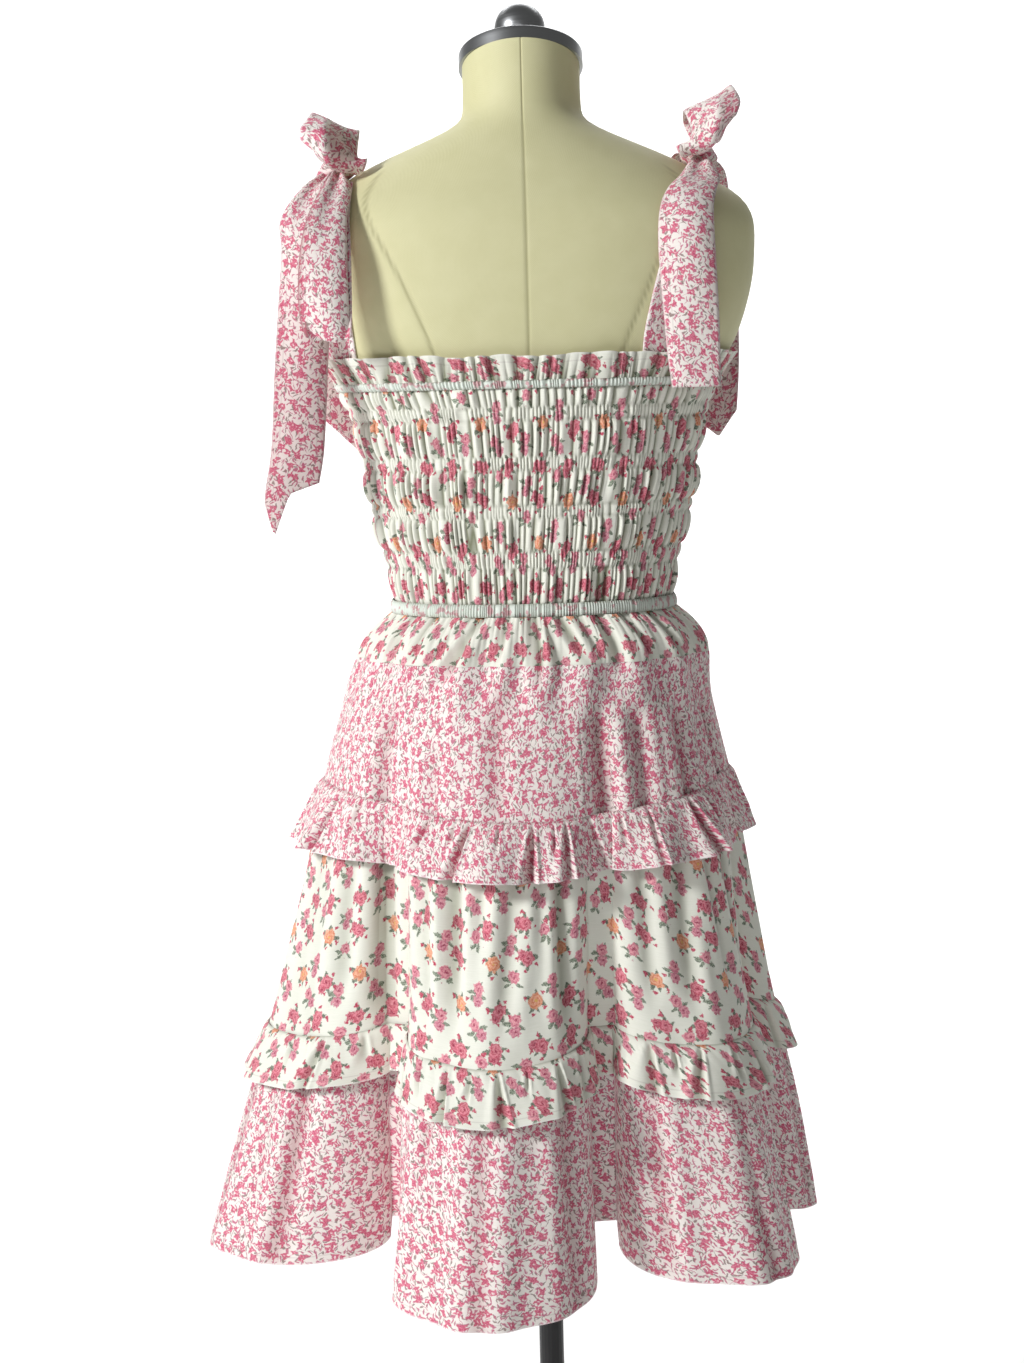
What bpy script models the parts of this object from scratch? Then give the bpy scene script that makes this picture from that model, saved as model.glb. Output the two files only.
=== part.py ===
"""A tiered cotton sundress with a shirred bodice and tied straps, worn on a limbless dress form.

Metres, +Z up. The back of the dress faces -Y and the stand's base rests on the floor at z = 0.
An angle runs round the upright axis in degrees: 0 is the middle of the back, 90 the +X side,
180 the middle of the front.
"""
import math

import bmesh
import bpy
from mathutils import Vector

# Driving dimensions
CLOTH = 0.0014
CLEARANCE = 0.0004
SEAM_ANGLE = 0.14
FORM_GAP = 0.0011
NECK_TOP = 1.431
NECK_SLOPE = 0.39
BODICE_TOP = 1.1822
BODICE_FOOT = 1.0172
CASING_TOP = 1.1888
FRILL_TOP = 1.2085
WAIST = 1.0072
YOKE_FOOT = 0.972
SEAM_1 = 0.8565
SEAM_1_SIDE_RISE = 0.020
SEAM_2 = 0.694
RUFFLE_1_FOOT = 0.8130
RUFFLE_1_SIDE_RISE = 0.014
RUFFLE_2_FOOT = 0.657
HEM = 0.540
HEM_LEVEL = 0.492
DIP_AT_SEAM_2 = 0.38
DIP_AT_RUFFLE_2 = 0.45
FOLD_START = 0.975
FOLD_GROWTH = 1.5
FOLD_ROUNDNESS = 0.58
RIDGES = 60
FRILL_WAVES = 12
RUFFLE_1_WAVES = 10
RUFFLE_2_WAVES = 11
RUFFLE_1_FLARE = 0.017
RUFFLE_2_FLARE = 0.011
YOKE_GATHERS = 20
TOP_CASING_OUT = 0.0032
WAIST_CASING_OUT = 0.0040
CASING_COLUMNS = 24
SKIRT_COLUMNS = 40
FORM_COLUMNS = 32
STRAP_WIDTH = 0.040
STRAP_TIP_WIDTH = 0.020
STRAP_OUT = 0.0028
RIBBON_CLOTH = 0.0012
POLE_RADIUS = 0.010
BASE_RADIUS = 0.180
HUB_TOP = 0.045
BAND_RADIUS = 0.0488
BAND_HEIGHT = 0.012
BAND_CROWN = 0.005
KNOB_RADIUS = 0.020

# The dress form, from its underside to the top of its neck
FORM = [
    # height, half width, back depth, front depth, squareness, rise to the back
    (0.790, 0.1440, 0.1020, 0.1020, 2.2, 0.00),
    (0.797, 0.1500, 0.1065, 0.1065, 2.2, 0.00),
    (0.825, 0.1510, 0.1080, 0.1080, 2.2, 0.00),
    (0.860, 0.1480, 0.1080, 0.1070, 2.2, 0.00),
    (0.900, 0.1400, 0.1040, 0.1030, 2.2, 0.00),
    (0.940, 0.1275, 0.0980, 0.0980, 2.2, 0.00),
    (0.980, 0.1150, 0.0890, 0.0910, 2.2, 0.00),
    (1.012, 0.1078, 0.0825, 0.0860, 2.2, 0.00),
    (1.035, 0.1100, 0.0825, 0.0885, 2.2, 0.00),
    (1.061, 0.1172, 0.0840, 0.0940, 2.2, 0.00),
    (1.100, 0.1260, 0.0880, 0.1040, 2.2, 0.00),
    (1.137, 0.1315, 0.0930, 0.1150, 2.2, 0.00),
    (1.166, 0.1390, 0.0975, 0.1205, 2.2, 0.00),
    (1.190, 0.1490, 0.1010, 0.1215, 2.3, 0.00),
    (1.217, 0.1640, 0.1045, 0.1160, 2.4, 0.00),
    (1.240, 0.1725, 0.1065, 0.1090, 2.5, 0.00),
    (1.265, 0.1785, 0.1075, 0.1000, 2.5, 0.00),
    (1.290, 0.1805, 0.1065, 0.0900, 2.5, 0.00),
    (1.308, 0.1800, 0.1040, 0.0820, 2.5, 0.00),
    (1.320, 0.1755, 0.1005, 0.0765, 2.4, 0.00),
    (1.330, 0.1665, 0.0960, 0.0715, 2.3, 0.00),
    (1.340, 0.1500, 0.0900, 0.0665, 2.2, 0.02),
    (1.352, 0.1290, 0.0820, 0.0615, 2.1, 0.05),
    (1.363, 0.1040, 0.0730, 0.0570, 2.0, 0.10),
    (1.373, 0.0780, 0.0640, 0.0535, 2.0, 0.14),
    (1.382, 0.0580, 0.0570, 0.0510, 2.0, 0.18),
    (1.391, 0.0485, 0.0525, 0.0495, 2.0, 0.22),
    (1.408, 0.0463, 0.0490, 0.0485, 2.0, 0.31),
    (NECK_TOP, 0.0462, 0.0475, 0.0475, 2.0, NECK_SLOPE),
]

# The skirt where it hangs between its folds
SKIRT = [
    # height, half width, back depth, front depth, shift to +X
    (0.480, 0.1840, 0.1300, 0.1420, -0.0070),
    (0.600, 0.1800, 0.1310, 0.1420, -0.0070),
    (0.690, 0.1730, 0.1320, 0.1420, -0.0070),
    (0.800, 0.1640, 0.1360, 0.1420, -0.0070),
    (0.871, 0.1580, 0.1370, 0.1410, -0.0070),
    (0.898, 0.1540, 0.1330, 0.1370, -0.0075),
    (0.925, 0.1490, 0.1270, 0.1310, -0.0070),
    (0.950, 0.1445, 0.1215, 0.1260, -0.0045),
    (0.970, 0.1405, 0.1170, 0.1215, -0.0010),
    (0.983, 0.1360, 0.1110, 0.1160, 0.0000),
    (0.995, 0.1270, 0.1030, 0.1080, 0.0000),
    (1.008, 0.1127, 0.0895, 0.0930, 0.0000),
]

# The skirt's large folds, each one a lobe of cloth that stands out and hangs lower
LOBES = [
    # from angle, to angle, out at the hem, dip at the hem
    (-98.0, -49.0, 0.103, 0.033),
    (-41.0, 17.0, 0.112, 0.048),
    (26.0, 72.0, 0.087, 0.042),
    (79.0, 101.0, 0.048, 0.028),
    (108.0, 135.0, 0.068, 0.040),
    (142.0, 165.0, 0.076, 0.044),
    (172.0, 202.0, 0.082, 0.046),
    (209.0, 231.0, 0.072, 0.042),
    (239.0, 255.0, 0.058, 0.034),
]

# Soft dents that part the wide folds, deepest at the hem
DENTS = [
    # angle, half width in degrees, depth at the hem
    (-70.0, 7.0, 0.012),
    (-22.0, 6.0, 0.009),
    (-3.0, 5.0, 0.007),
    (39.0, 6.0, 0.013),
    (57.0, 5.0, 0.007),
    (121.0, 5.0, 0.009),
    (187.0, 6.0, 0.011),
    (221.0, 5.0, 0.008),
]

# Rows of the shirred bodice: elastic threads draw it in, and the cloth puffs between them
SHIRRING = [
    # height, valley out, ridge out
    (BODICE_TOP, 0.0026, 0.0038),
    (1.1710, 0.0028, 0.0044),
    (1.1600, 0.0026, 0.0036),
    (1.1455, 0.0036, 0.0066),
    (1.1310, 0.0026, 0.0036),
    (1.1210, 0.0026, 0.0037),
    (1.1075, 0.0036, 0.0066),
    (1.0940, 0.0026, 0.0036),
    (1.0840, 0.0026, 0.0037),
    (1.0705, 0.0036, 0.0066),
    (1.0570, 0.0026, 0.0036),
    (1.0440, 0.0026, 0.0037),
    (1.0310, 0.0036, 0.0062),
    (BODICE_FOOT, 0.0026, 0.0038),
]
BODICE_INNER_ROWS = [BODICE_TOP, 1.166, 1.137, 1.100, 1.061, 1.035, BODICE_FOOT]

# The straps on the form, from the casing to the knot on the shoulder
STRAPS = {
    # name: side of the form, then rows of height and distance from the middle
    "strap_back_left": (-1, [(1.1914, -0.141), (1.220, -0.147), (1.250, -0.151), (1.280, -0.151),
                             (1.305, -0.148), (1.325, -0.143), (1.341, -0.137)]),
    "strap_back_right": (-1, [(1.1914, 0.104), (1.220, 0.106), (1.250, 0.113), (1.280, 0.121),
                              (1.305, 0.126), (1.325, 0.130), (1.341, 0.132)]),
    "strap_front_left": (1, [(1.1914, -0.108), (1.220, -0.112), (1.250, -0.118), (1.280, -0.125),
                             (1.305, -0.129), (1.325, -0.132), (1.344, -0.132)]),
    "strap_front_right": (1, [(1.1914, 0.104), (1.220, 0.108), (1.250, 0.114), (1.280, 0.121),
                              (1.305, 0.126), (1.325, 0.129), (1.344, 0.129)]),
}

# Free ribbons of the two bows: rows of x, y, z, width and the turn of the width from +X.
# The upper loops also tilt, with their outer ends high.
RIBBONS = {
    "tail_back_left": [
        (-0.1525, -0.0355, 1.3502, 0.010, -16), (-0.163, -0.056, 1.338, 0.022, -20),
        (-0.171, -0.078, 1.316, 0.034, -14), (-0.168, -0.086, 1.290, 0.038, -6),
        (-0.170, -0.086, 1.250, 0.040, 0), (-0.174, -0.083, 1.200, 0.041, 2),
        (-0.179, -0.080, 1.140, 0.041, 0), (-0.185, -0.079, 1.106, 0.034, 0),
        (-0.198, -0.079, 1.078, 0.010, 0),
    ],
    "loop_back_left": [
        (-0.1430, -0.0382, 1.3517, 0.010, 0), (-0.143, -0.066, 1.3400, 0.022, 4),
        (-0.149, -0.100, 1.316, 0.030, 6), (-0.152, -0.116, 1.285, 0.036, 4),
        (-0.153, -0.118, 1.245, 0.038, 0), (-0.150, -0.1130, 1.221, 0.034, 0),
        (-0.150, -0.106, 1.243, 0.036, 0), (-0.149, -0.103, 1.285, 0.034, 4),
        (-0.143, -0.091, 1.305, 0.020, 6), (-0.142, -0.069, 1.333, 0.012, 0),
    ],
    "tail_back_right": [
        (0.1375, -0.0384, 1.3575, 0.014, 0), (0.135, -0.062, 1.344, 0.030, 4),
        (0.127, -0.086, 1.333, 0.038, 4), (0.122, -0.100, 1.316, 0.041, 2),
        (0.121, -0.106, 1.285, 0.043, 0), (0.123, -0.1075, 1.240, 0.042, -2),
        (0.1245, -0.1080, 1.205, 0.040, -2), (0.126, -0.1080, 1.180, 0.037, -2),
    ],
    "tail_front_left": [
        (-0.148, 0.0152, 1.3552, 0.014, 16), (-0.152, 0.040, 1.349, 0.024, 16),
        (-0.152, 0.064, 1.333, 0.032, 14), (-0.152, 0.080, 1.300, 0.038, 14),
        (-0.153, 0.088, 1.245, 0.041, 14), (-0.154, 0.090, 1.190, 0.041, 10),
        (-0.152, 0.090, 1.140, 0.039, 8),
    ],
    "tail_front_right": [
        (0.139, 0.0155, 1.3604, 0.014, -8), (0.149, 0.040, 1.350, 0.024, -16),
        (0.151, 0.064, 1.333, 0.032, -14), (0.153, 0.080, 1.300, 0.038, -14),
        (0.154, 0.086, 1.245, 0.041, -14), (0.154, 0.088, 1.190, 0.041, -10),
        (0.152, 0.088, 1.138, 0.037, -8),
    ],
    "loop_front_right": [
        (0.1345, 0.0144, 1.3631, 0.010, 0), (0.131, 0.046, 1.3635, 0.022, -4),
        (0.131, 0.084, 1.342, 0.029, -6), (0.130, 0.108, 1.295, 0.036, -8),
        (0.130, 0.114, 1.258, 0.038, -6), (0.129, 0.1105, 1.234, 0.034, -6),
        (0.129, 0.103, 1.257, 0.036, -6), (0.128, 0.098, 1.293, 0.034, -8),
        (0.127, 0.081, 1.328, 0.026, -6), (0.126, 0.052, 1.352, 0.018, 0),
    ],
    "loop_upper_left": [
        (-0.141, -0.0395, 1.3590, 0.016, 8), (-0.142, -0.052, 1.3520, 0.034, 8),
        (-0.144, -0.064, 1.3545, 0.044, 8), (-0.146, -0.070, 1.3660, 0.048, 8),
        (-0.147, -0.064, 1.3800, 0.048, 8), (-0.148, -0.040, 1.3905, 0.046, 8),
        (-0.148, -0.010, 1.3910, 0.044, 8), (-0.147, 0.008, 1.3850, 0.038, 8),
        (-0.146, 0.010, 1.3765, 0.026, 8), (-0.144, -0.002, 1.3684, 0.012, 8),
    ],
    "loop_upper_right": [
        (0.137, -0.0395, 1.3640, 0.016, -8), (0.138, -0.052, 1.3600, 0.032, -8),
        (0.140, -0.064, 1.3640, 0.042, -8), (0.142, -0.069, 1.3760, 0.044, -8),
        (0.144, -0.062, 1.3900, 0.044, -8), (0.144, -0.040, 1.4000, 0.042, -8),
        (0.144, -0.010, 1.4010, 0.040, -8), (0.143, 0.008, 1.3950, 0.036, -8),
        (0.141, 0.010, 1.3850, 0.024, -8), (0.138, -0.002, 1.3740, 0.012, -8),
    ],
}
RIBBON_TILTS = {"loop_upper_left": 20.0, "loop_upper_right": -28.0}
RIBBON_STEPS = 2
KNOTS = {
    # name: centre, half sizes, lean to +X in degrees
    "knot_left": ((-0.146, -0.012, 1.3548), (0.016, 0.027, 0.0105), -20.0),
    "knot_right": ((0.137, -0.012, 1.3600), (0.015, 0.027, 0.0105), 20.0),
}


def clear_scene():
    for item in list(bpy.data.objects):
        bpy.data.objects.remove(item, do_unlink=True)


def make_material(name, colour, roughness, metallic=0.0):
    material = bpy.data.materials.new(name)
    material.use_nodes = True
    shader = material.node_tree.nodes["Principled BSDF"]
    shader.inputs["Base Color"].default_value = (*colour, 1.0)
    shader.inputs["Roughness"].default_value = roughness
    shader.inputs["Metallic"].default_value = metallic
    material.diffuse_color = (*colour, 1.0)
    return material


def add_object(name, mesh, material, collection):
    item = bpy.data.objects.new(name, mesh)
    mesh.materials.append(material)
    collection.objects.link(item)
    mesh.shade_smooth()
    mesh.set_sharp_from_angle(angle=math.radians(50))
    return item


def table_value(rows, height, column):
    """Smooth value of a table's column at a height, through every row."""
    ordered = sorted(rows)
    last = len(ordered) - 1
    if height <= ordered[0][0]:
        return ordered[0][column]
    if height >= ordered[last][0]:
        return ordered[last][column]
    place = next(index for index in range(last) if ordered[index + 1][0] >= height)
    low, high = ordered[place], ordered[place + 1]
    before, after = ordered[max(place - 1, 0)], ordered[min(place + 2, last)]
    span = high[0] - low[0]
    part = (height - low[0]) / span
    slope_low = (high[column] - before[column]) / (high[0] - before[0]) * span
    slope_high = (after[column] - low[column]) / (after[0] - low[0]) * span
    square, cube = part * part, part ** 3
    return ((2 * cube - 3 * square + 1) * low[column] + (cube - 2 * square + part) * slope_low
            + (3 * square - 2 * cube) * high[column] + (cube - square) * slope_high)


def ring_point(angle, half_width, back, front, squareness):
    """Point of a rounded section at a polar angle."""
    turn = math.radians(angle)
    across, along = math.sin(turn), math.cos(turn)
    depth = back if along > 0 else front
    size = (abs(across / half_width) ** squareness + abs(along / depth) ** squareness)
    radius = size ** (-1.0 / squareness)
    return Vector((radius * across, -radius * along, 0.0))


def moved_out(curve, angle, out):
    """Point of a level curve at an angle, moved out along the curve's own normal."""
    step = 0.8
    point = curve(angle)
    if out:
        along = curve(angle + step) - curve(angle - step)
        normal = Vector((along.y, -along.x, 0.0)).normalized()
        point = point + normal * out
    return point


def form_point(angle, height, out=0.0):
    """Point of the dress form's surface, moved out."""
    half_width, back, front, squareness, rise = (
        table_value(FORM, height, column) for column in range(1, 6))
    point = moved_out(lambda turn: ring_point(turn, half_width, back, front, squareness), angle, out)
    point.z = height - rise * point.y
    return point


def above_form(angle, height, out):
    """Point of the dress form's surface, moved out square to the surface itself."""
    turn_step, height_step = 1.0, 0.002
    along = form_point(angle + turn_step, height) - form_point(angle - turn_step, height)
    upward = form_point(angle, height + height_step) - form_point(angle, height - height_step)
    return form_point(angle, height) + along.cross(upward).normalized() * out


def lobe_shape(angle):
    """How far each lobe is risen at this angle, from 0 to 1, with its out and its dip."""
    shapes = []
    for start, end, out, dip in LOBES:
        part = ((angle - start) % 360.0) / (end - start)
        rise = math.sin(math.pi * part) ** FOLD_ROUNDNESS if 0.0 < part < 1.0 else 0.0
        shapes.append((rise, out, dip))
    return shapes


def hem_dip(angle):
    return sum(rise * dip for rise, out, dip in lobe_shape(angle))


def lobe_rise(angle):
    return max(rise for rise, out, dip in lobe_shape(angle))


def dent_depth(angle):
    depth = 0.0
    for centre, half_width, deep in DENTS:
        away = (angle - centre + 180.0) % 360.0 - 180.0
        depth += deep * math.exp(-(away / half_width) ** 2)
    return depth


def gather(angle):
    """Uneven gathers of the yoke, between -1 and 1."""
    turn = math.radians(angle)
    return math.sin(YOKE_GATHERS * turn + 1.1 * math.sin(3 * turn) + 0.6 * math.sin(5 * turn + 1.0))


def gather_size(height):
    """The gathers open below the waist and fade out in the first tier."""
    deepest, reach, start, sharpness = 0.0030, 2.6, 0.06, 1.5
    below = max((WAIST - height) / (WAIST - YOKE_FOOT), 0.0)
    return deepest * math.sin(math.pi * min(below / reach + start, 1.0)) ** sharpness


def skirt_point(angle, height, out=0.0):
    """Point of the skirt's outer surface, with its gathers and folds, moved out."""
    half_width, back, front, shift = (table_value(SKIRT, height, column) for column in range(1, 5))
    below = max(0.0, (FOLD_START - height) / (FOLD_START - HEM_LEVEL))
    growth = below ** FOLD_GROWTH
    gathers = gather_size(height)

    def curve(turn):
        point = ring_point(turn, half_width, back, front, 2.0)
        folds = sum(rise * fold for rise, fold, dip in lobe_shape(turn)) - dent_depth(turn)
        radius = point.length + growth * folds + gathers * gather(turn)
        point = point * (radius / point.length)
        point.x += shift
        return point

    point = moved_out(curve, angle, out)
    point.z = height
    return point


def edge_height(name, angle):
    """Height of one of the skirt's edges at an angle."""
    side = math.sin(math.radians(angle)) ** 2
    dip = hem_dip(angle)
    if name == "waist":
        return WAIST
    if name == "yoke foot":
        return YOKE_FOOT
    if name == "seam 1":
        return SEAM_1 + SEAM_1_SIDE_RISE * side
    if name == "ruffle 1 foot":
        return RUFFLE_1_FOOT + RUFFLE_1_SIDE_RISE * side
    if name == "seam 2":
        return SEAM_2 - DIP_AT_SEAM_2 * dip
    if name == "ruffle 2 foot":
        return RUFFLE_2_FOOT - DIP_AT_RUFFLE_2 * dip
    return HEM - dip


def even_angles(first, last, count):
    """Angles of columns that stand evenly along the lower skirt."""
    samples = 720
    level = 0.62
    angles = [first + (last - first) * index / samples for index in range(samples + 1)]
    lengths = [0.0]
    for index in range(samples):
        gap = skirt_point(angles[index + 1], level) - skirt_point(angles[index], level)
        lengths.append(lengths[-1] + gap.length)
    columns = []
    place = 0
    for index in range(count + 1):
        wanted = lengths[-1] * index / count
        while place < samples - 1 and lengths[place + 1] < wanted:
            place += 1
        part = (wanted - lengths[place]) / (lengths[place + 1] - lengths[place])
        columns.append(angles[place] + (angles[place + 1] - angles[place]) * part)
    return columns


def join_chains(faces, outer, inner):
    """Triangles between two chains of points that start and end side by side."""
    place_outer, place_inner = 0, 0
    last_outer, last_inner = len(outer) - 1, len(inner) - 1
    while place_outer < last_outer or place_inner < last_inner:
        share_outer = (place_outer + 0.5) / last_outer
        share_inner = (place_inner + 0.5) / last_inner
        step_outer = place_inner == last_inner or (place_outer < last_outer and share_outer <= share_inner)
        corner = outer[place_outer + 1] if step_outer else inner[place_inner + 1]
        faces.append((outer[place_outer], inner[place_inner], corner))
        place_outer += 1 if step_outer else 0
        place_inner += 0 if step_outer else 1


def add_grid(points, faces, rows):
    """Add a grid of points and its faces, and give the grid's point numbers."""
    first = len(points)
    across = len(rows[0])
    points.extend(point for row in rows for point in row)
    numbers = [[first + row * across + column for column in range(across)] for row in range(len(rows))]
    for upper, lower in zip(numbers, numbers[1:]):
        for column in range(across - 1):
            faces.append((upper[column], lower[column], lower[column + 1], upper[column + 1]))
    return numbers


def cloth_wall(name, outer_rows, inner_rows, material, collection):
    """A closed wall of cloth between an outer and an inner grid of points."""
    points, faces = [], []
    outside = add_grid(points, faces, outer_rows)
    inside = add_grid(points, faces, inner_rows)
    join_chains(faces, outside[0], inside[0])
    join_chains(faces, outside[-1], inside[-1])
    join_chains(faces, [row[0] for row in outside], [row[0] for row in inside])
    join_chains(faces, [row[-1] for row in outside], [row[-1] for row in inside])
    mesh = bpy.data.meshes.new(name)
    mesh.from_pydata(points, [], faces)
    shape = bmesh.new()
    shape.from_mesh(mesh)
    bmesh.ops.recalc_face_normals(shape, faces=shape.faces)
    shape.to_mesh(mesh)
    shape.free()
    return add_object(name, mesh, material, collection)


def half_turn(middle, columns):
    """Angles across one half of the dress, just short of its side seams."""
    reach = 90.0 - SEAM_ANGLE
    return [middle - reach + 2 * reach * column / columns for column in range(columns + 1)]


def bodice_half(name, middle, material, collection):
    """Half of the shirred tube: ridges outside, plain inside."""
    usual, swing = 0.86, 0.14
    outer_rows = []
    for height, valley, ridge in SHIRRING:
        row = []
        for column, angle in enumerate(half_turn(middle, RIDGES)):
            swell = usual + swing * math.sin(2.4 * column + 31.0 * height)
            out = valley + (ridge - valley) * swell if column % 2 else valley
            row.append(form_point(angle, height, out))
        outer_rows.append(row)
    inner_rows = [[form_point(angle, height, FORM_GAP) for angle in half_turn(middle, FORM_COLUMNS // 2)]
                  for height in BODICE_INNER_ROWS]
    cloth_wall(name, outer_rows, inner_rows, material, collection)


def band_half(name, middle, heights, out, material, collection):
    """Half of a plain band round the form, such as a casing."""
    outer, inner = ([[form_point(angle, height, reach) for angle in half_turn(middle, CASING_COLUMNS)]
                     for height in heights] for reach in (out, out - CLOTH))
    cloth_wall(name, outer, inner, material, collection)


def frill_half(name, middle, material, collection):
    """Half of the frill above the casing, waved and leaning out."""
    foot_out, lean, foot_wave, top_wave, edge_wave = 0.0049, 0.0034, 0.0003, 0.0023, 0.0012
    walls = []
    for thickness in (0.0, RIBBON_CLOTH):
        rows = []
        for part in (1.0, 0.0):
            height = CASING_TOP + CLEARANCE + (FRILL_TOP - CASING_TOP) * part
            row = []
            for column, angle in enumerate(half_turn(middle, FRILL_WAVES * 4)):
                wave = math.sin(math.pi * column / 2.0 + 0.5 * math.sin(0.37 * column))
                out = foot_out + lean * part + wave * (foot_wave + (top_wave - foot_wave) * part)
                point = form_point(angle, height, out - thickness)
                point.z += part * edge_wave * math.sin(0.9 * column)
                row.append(point)
            rows.append(row)
        walls.append(rows)
    cloth_wall(name, walls[0], walls[1], material, collection)


def skirt_panel(name, middle, top, foot, bands, material, collection):
    """Half of a tier or of the yoke, between two of the skirt's edges."""
    angles = even_angles(middle - 90.0 + SEAM_ANGLE, middle + 90.0 - SEAM_ANGLE, SKIRT_COLUMNS)
    walls = []
    for out in (0.0, -CLOTH):
        rows = []
        for band in range(bands + 1):
            row = []
            for angle in angles:
                high = edge_height(top, angle) - CLEARANCE
                low = edge_height(foot, angle)
                row.append(skirt_point(angle, high + (low - high) * band / bands, out))
            rows.append(row)
        walls.append(rows)
    cloth_wall(name, walls[0], walls[1], material, collection)


def ruffle_panel(name, middle, top, foot, waves, flare, material, collection):
    """Half of a ruffle: the tier's own points moved out, and waved towards its foot."""
    levels = (0.0, 0.45, 1.0)
    top_out, spread, least_room, least_wave, foot_wave = 0.0018, 0.0020, 0.15, 0.25, 0.002
    angles = even_angles(middle - 90.0 + SEAM_ANGLE, middle + 90.0 - SEAM_ANGLE, SKIRT_COLUMNS)
    walls = []
    for thickness in (0.0, RIBBON_CLOTH):
        rows = []
        for part in levels:
            row = []
            for column, angle in enumerate(angles):
                share = column / SKIRT_COLUMNS
                turn = 2 * math.pi * (waves * share + 0.25 * math.sin(3 * math.pi * share + middle))
                wave = 0.5 + 0.5 * math.sin(turn)
                room = least_room + (1.0 - least_room) * lobe_rise(angle)
                flared = room * flare * (least_wave + (1.0 - least_wave) * wave)
                out = top_out + part * (spread + flared)
                high = edge_height(top, angle) - CLEARANCE
                low = edge_height(foot, angle) + foot_wave * wave
                row.append(skirt_point(angle, high + (low - high) * part, out - thickness))
            rows.append(row)
        walls.append(rows)
    cloth_wall(name, walls[0], walls[1], material, collection)


def angle_for(distance, height, side):
    """Angle at which the form's surface is this far from the middle, on its back or front."""
    low, high = (-90.0, 90.0) if side < 0 else (270.0, 90.0)
    for _ in range(40):
        middle = (low + high) / 2
        if form_point(middle, height).x < distance:
            low = middle
        else:
            high = middle
    return (low + high) / 2


def strap_row(height, distance, side, width):
    """Points across a strap that lies on the form."""
    centre = angle_for(distance, height, side)
    direction = 1.0 if side < 0 else -1.0
    offsets = (-0.5, -0.25, 0.0, 0.25, 0.5)
    points = []
    for offset in offsets:
        wanted = abs(offset) * width
        angle, length = centre, 0.0
        step = 0.2 * direction * (1 if offset > 0 else -1)
        while length < wanted:
            here = form_point(angle, height)
            angle += step
            length += (form_point(angle, height) - here).length
        points.append(above_form(angle, height, STRAP_OUT))
    return points if side < 0 else points[::-1]


def cloth_sheet(name, rows, material, collection):
    """A thin ribbon of cloth: an open surface over rows of points, thickened inwards."""
    points, faces = [], []
    add_grid(points, faces, rows)
    mesh = bpy.data.meshes.new(name)
    mesh.from_pydata(points, [], faces)
    item = add_object(name, mesh, material, collection)
    wall = item.modifiers.new("wall", "SOLIDIFY")
    wall.thickness = RIBBON_CLOTH
    wall.offset = -1.0


def strap(name, side, table, material, collection):
    """A strap that lies on the form between the casing and the shoulder."""
    steps, taper_start = 9, 0.7
    foot, top = table[0][0], table[-1][0]
    rows = []
    for step in range(steps, -1, -1):
        height = foot + (top - foot) * step / steps
        taper = max(0.0, step / steps - taper_start) / (1.0 - taper_start)
        width = STRAP_WIDTH + (STRAP_TIP_WIDTH - STRAP_WIDTH) * taper
        rows.append(strap_row(height, table_value(table, height, 1), side, width))
    cloth_sheet(name, rows, material, collection)


def smooth_rows(table, steps):
    """A ribbon's rows with smooth rows added between them."""
    marked = [(float(index), *row) for index, row in enumerate(table)]
    count = (len(table) - 1) * steps
    return [[table_value(marked, index / steps, column) for column in range(1, 6)]
            for index in range(count + 1)]


def ribbon(name, table, material, collection):
    """A free ribbon of a bow, which follows its table."""
    rows = []
    tilt = math.tan(math.radians(RIBBON_TILTS.get(name, 0.0)))
    for x, y, z, width, turn in smooth_rows(table, RIBBON_STEPS):
        across = Vector((math.cos(math.radians(turn)), math.sin(math.radians(turn)), -tilt)).normalized()
        centre = Vector((x, y, z))
        rows.append([centre + across * width * offset for offset in (-0.5, 0.0, 0.5)])
    cloth_sheet(name, rows, material, collection)


def knot(name, centre, half_sizes, lean, material, collection):
    """A small firm knot that sits on the shoulder."""
    mesh = bpy.data.meshes.new(name)
    shape = bmesh.new()
    bmesh.ops.create_uvsphere(shape, u_segments=12, v_segments=8, radius=1.0)
    bmesh.ops.scale(shape, vec=half_sizes, verts=shape.verts)
    shape.to_mesh(mesh)
    shape.free()
    item = add_object(name, mesh, material, collection)
    item.location = centre
    item.rotation_euler = (0.0, math.radians(lean), 0.0)
    return item


def torso(material, collection):
    """The smooth form: rings of points joined into one closed body."""
    shape = bmesh.new()
    rings = []
    for row in FORM:
        ring = [shape.verts.new(form_point(360.0 * column / FORM_COLUMNS, row[0]))
                for column in range(FORM_COLUMNS)]
        rings.append(ring)
    for lower, upper in zip(rings, rings[1:]):
        for column in range(FORM_COLUMNS):
            beside = (column + 1) % FORM_COLUMNS
            shape.faces.new((lower[column], lower[beside], upper[beside], upper[column]))
    shape.faces.new(rings[0][::-1])
    shape.faces.new(rings[-1])
    bmesh.ops.recalc_face_normals(shape, faces=shape.faces)
    mesh = bpy.data.meshes.new("form_torso")
    shape.to_mesh(mesh)
    shape.free()
    add_object("form_torso", mesh, material, collection)


def turned(name, profile, steps, material, collection):
    """A turned piece: a profile of radius and height, from its top down its outer side."""
    mesh = bpy.data.meshes.new(name)
    points = [(radius, 0.0, height) for radius, height in profile]
    edges = [(index, index + 1) for index in range(len(points) - 1)]
    mesh.from_pydata(points, edges, [])
    item = bpy.data.objects.new(name, mesh)
    mesh.materials.append(material)
    collection.objects.link(item)
    screw = item.modifiers.new("turn", "SCREW")
    screw.steps = steps
    screw.render_steps = steps
    screw.use_merge_vertices = True
    screw.merge_threshold = 0.00001
    screw.use_smooth_shade = True
    return item


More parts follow.
